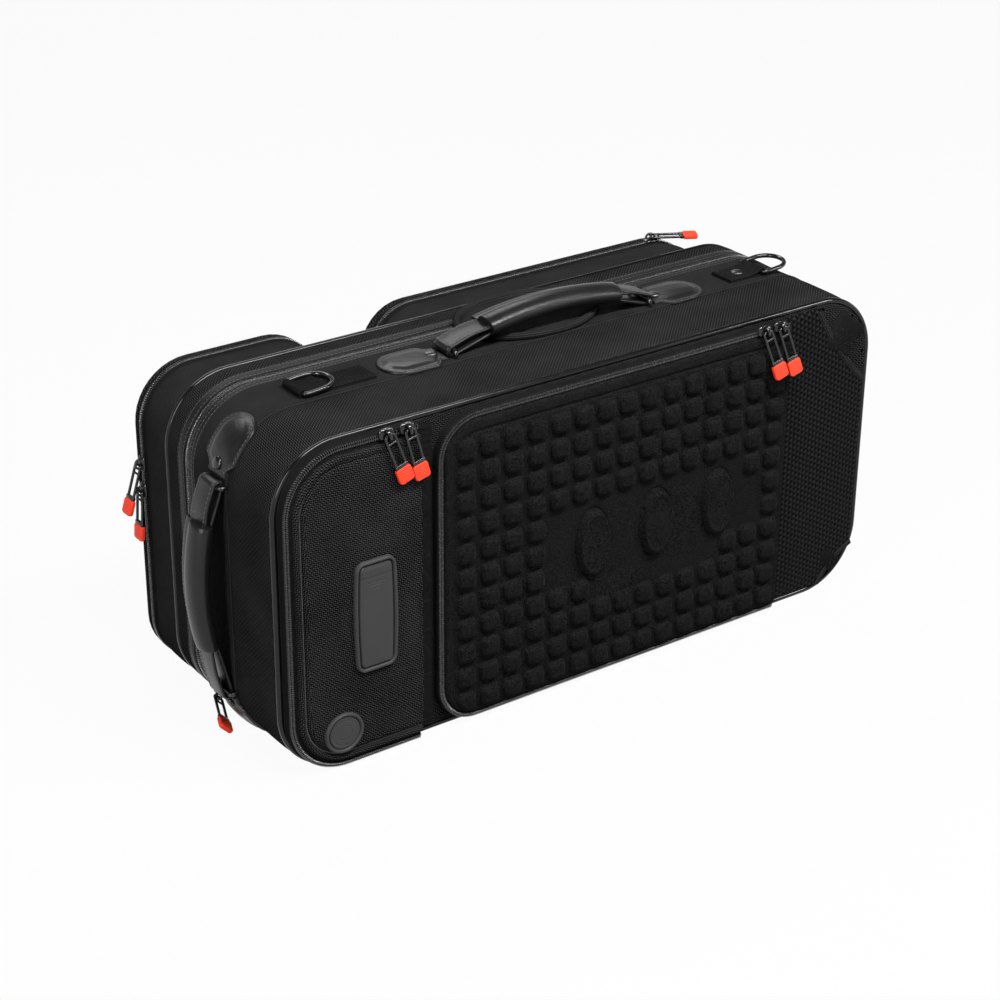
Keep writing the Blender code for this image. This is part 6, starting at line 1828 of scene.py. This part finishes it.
def makeLining(name, node, body, opens):
    # A tray: up the outside, over a rolled edge, down the inside and round a fillet into the
    # floor. opens is +1 for a tray that is open towards the back and -1 towards the front.
    low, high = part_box(node)
    floorY = low.y if opens > 0 else high.y
    depth = high.y - low.y
    radius = case["cornerRadius"] - low.z
    box = ((low.x, low.z), (high.x, high.z), (radius, radius))
    wall, fillet = trayLook["wall"], trayLook["fillet"]
    rim = [(trayLook["chamfer"], 0.0), (0.0, trayLook["chamfer"]), (0.0, depth - trayLook["roundEdge"])]
    for turn in np.linspace(0, math.pi, 9)[1:]:
        rim.append((wall / 2 * (1 - math.cos(turn)), depth - trayLook["roundEdge"] * (1 - math.sin(turn))))
    rim.append((wall + 0.0002, wall + fillet))
    for turn in np.linspace(0, math.pi / 2, 7)[1:]:
        rim.append((wall + fillet * (1 - math.cos(turn)), wall + fillet * (1 - math.sin(turn))))

    def floorHeight(x, z):
        inside = rectangleDistance(x, z, *box) - rim[-1][0]
        return (ripple(x, z, 91, 0.12) + 1) * trayLook["puff"] * smoothStep(inside / 0.03)

    tray = Cloth()
    flap(tray, *box, rim, floorHeight, floorY, opens, trayLook["spacing"])
    tray.piece(name, "plush", body, [node],
               ((low.x + high.x) / 2, floorY - opens * 0.5, (low.z + high.z) / 2))


bedLook = {"voxel": 0.0035, "rounds": 10, "unevenness": 0.0005}


def makeBed():
    # The foam's solid, made into even small faces and worn soft at its edges, with plush over it.
    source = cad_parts["instrument_bed"]
    mesh = source.data.copy()
    work = bmesh.new()
    work.from_mesh(mesh)
    bmesh.ops.remove_doubles(work, verts=work.verts, dist=1e-6)
    work.to_mesh(mesh)
    work.free()
    bed = bpy.data.objects.new("plush_bed", mesh)
    bpy.context.scene.collection.objects.link(bed)
    remesh = bed.modifiers.new("even_faces", "REMESH")
    remesh.mode = "VOXEL"
    remesh.voxel_size = bedLook["voxel"]
    smooth = bed.modifiers.new("worn_edges", "SMOOTH")
    smooth.iterations = bedLook["rounds"]
    smooth.factor = 0.5
    bpy.context.view_layer.update()
    depsgraph = bpy.context.evaluated_depsgraph_get()
    soft = bpy.data.meshes.new_from_object(bed.evaluated_get(depsgraph))
    bed.modifiers.clear()
    bed.data = soft
    count = len(soft.vertices)
    places, normals = np.empty(count * 3), np.empty(count * 3)
    soft.vertices.foreach_get("co", places)
    soft.vertices.foreach_get("normal", normals)
    places, normals = places.reshape(-1, 3), normals.reshape(-1, 3)
    wave = ripple(places[:, 0] + places[:, 1], places[:, 2] - places[:, 1], 95, 0.08)
    places = places + normals * (wave[:, None] - 1) * bedLook["unevenness"]
    soft.vertices.foreach_set("co", places.ravel())
    soft.update()
    soft.shade_smooth()
    soft.materials.clear()
    soft.materials.append(looks["plush"])
    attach(bed, "base")
    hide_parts("instrument_bed")


hingeLook = {"reach": 0.011, "turn": 0.004, "slack": 0.0012, "cornerGap": 0.062, "spacing": 0.006}


def makeHingeCloth():
    # A low arch of cloth inside the bottom edge, over the hinge line.
    half = halfLength - hingeLook["cornerGap"]
    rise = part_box("base_lining")[0].z + trayLook["wall"] + 0.0006
    across = np.linspace(-1, 1, 25)
    x = np.linspace(-half, half, int(2 * half / hingeLook["spacing"]))
    x, across = np.meshgrid(x, across, indexing="ij")
    z = rise + hingeLook["slack"] * (1 - across ** 2) + ripple(x, across * 0.01, 97, 0.05) * 0.0002
    strip = Cloth()
    wide = across * hingeLook["reach"]
    strip.grid(xyz(x, zipY + wide, z), np.stack([x, wide], -1))
    piece = strip.piece("hinge_cloth", "canvas", None, (), (0, zipY, rise - 0.05))
    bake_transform(piece)


makeHingeCloth()
makeLining("base_plush", "base_lining", "base", 1)
makeLining("lid_plush", "lid_lining", "lid", -1)
makeBed()
print("inside made")


# Stage and lights

def seenRays(tree):
    # 1 for rays that show the background itself: from the camera, or by way of gloss or glass.
    path = tree.nodes.new("ShaderNodeLightPath")
    camera, glossy, through = (Wire(tree, path.outputs[name]) for name in
                               ("Is Camera Ray", "Is Glossy Ray", "Is Transmission Ray"))
    return camera.maths("MAXIMUM", glossy).maths("MAXIMUM", through)


def makeFloor():
    # The white world shows through the floor, which keeps a share of its own light and so the
    # shadow of the case. Lamps reach through it to what hangs lower when the lid is open.
    cloth = Cloth()
    size = stageLook["floor"]
    cloth.add([(-size, -size, 0), (size, -size, 0), (size, size, 0), (-size, size, 0)], [[[0, 1, 2, 3]]])
    finish = Finish("floor_paper", Roughness=0.9)
    where = finish.coordinates("Object")
    finish.set("Base_Color", where.noise(3.0).colours(grey(0.34), grey(0.36)))
    clear = finish.tree.nodes.new("ShaderNodeBsdfTransparent")
    shadow = Wire(finish.tree, finish.tree.nodes.new("ShaderNodeLightPath").outputs["Is Shadow Ray"])
    share = (seenRays(finish.tree) * stageLook["glow"]).maths("MAXIMUM", shadow)
    mixed = share.make("ShaderNodeMixShader", {}, {0: share})
    finish.tree.links.new(finish.shader.outputs["BSDF"], mixed.socket.node.inputs[1])
    finish.tree.links.new(clear.outputs["BSDF"], mixed.socket.node.inputs[2])
    output = finish.tree.nodes["Material Output"]
    finish.tree.links.new(mixed.socket, output.inputs["Surface"])
    looks["floor_paper"] = finish.material
    cloth.piece("floor", "floor_paper", None, slotted=False)


def areaLight(name, place, aim, size, power):
    data = bpy.data.lights.new(name, "AREA")
    data.shape = "RECTANGLE"
    data.size, data.size_y = size
    data.energy = power
    light = bpy.data.objects.new(name, data)
    direction = Vector(aim) - Vector(place)
    light.location = place
    light.rotation_euler = direction.to_track_quat("-Z", "Y").to_euler()
    bpy.context.scene.collection.objects.link(light)


stageLook = {"floor": 6.0, "glow": 0.95, "world": 1.0, "fill": 0.09, "backdropTop": 0.10, "fade": 0.20}
lights = {
    "overhead": ((0.05, -0.85, 1.55), (0.0, 0.0, 0.15), (1.5, 0.24), 56.0),
    "behind": ((0.1, 1.2, 1.35), (0.0, 0.0, 0.2), (1.6, 0.24), 12.0),
    "left_side": ((-1.6, -0.60, 0.9), (0.0, 0.0, 0.12), (0.25, 1.0), 18.0),
    "right_front": ((1.5, -1.3, 0.95), (0.0, -0.1, 0.13), (0.30, 0.60), 14.0),
}


def makeWorld():
    # White to the camera. Gloss shows the white backdrop as high as it hangs and the dim room above it,
    # and what lights the case is the dim room.
    world = bpy.data.worlds.new("studio")
    bpy.context.scene.world = world
    world.use_nodes = True
    tree = world.node_tree
    background = tree.nodes["Background"]
    direction = Wire(tree, tree.nodes.new("ShaderNodeTexCoord").outputs["Generated"])
    above = ((direction.split()[2] - stageLook["backdropTop"]) / stageLook["fade"]).clamp()
    camera = Wire(tree, tree.nodes.new("ShaderNodeLightPath").outputs["Is Camera Ray"])
    backdrop = seenRays(tree) * (1.0 - above)
    level = backdrop.maths("MAXIMUM", camera).maths("MAXIMUM", stageLook["fill"])
    tree.links.new((level * stageLook["world"]).socket, background.inputs["Strength"])
    tree.links.new(level.colours(grey(1.0), grey(1.0)).socket, background.inputs["Color"])


makeFloor()
makeWorld()
for name, (place, aim, size, power) in lights.items():
    areaLight(name, place, aim, size, power)
bpy.context.scene.view_settings.view_transform = "Standard"
print("stage made")
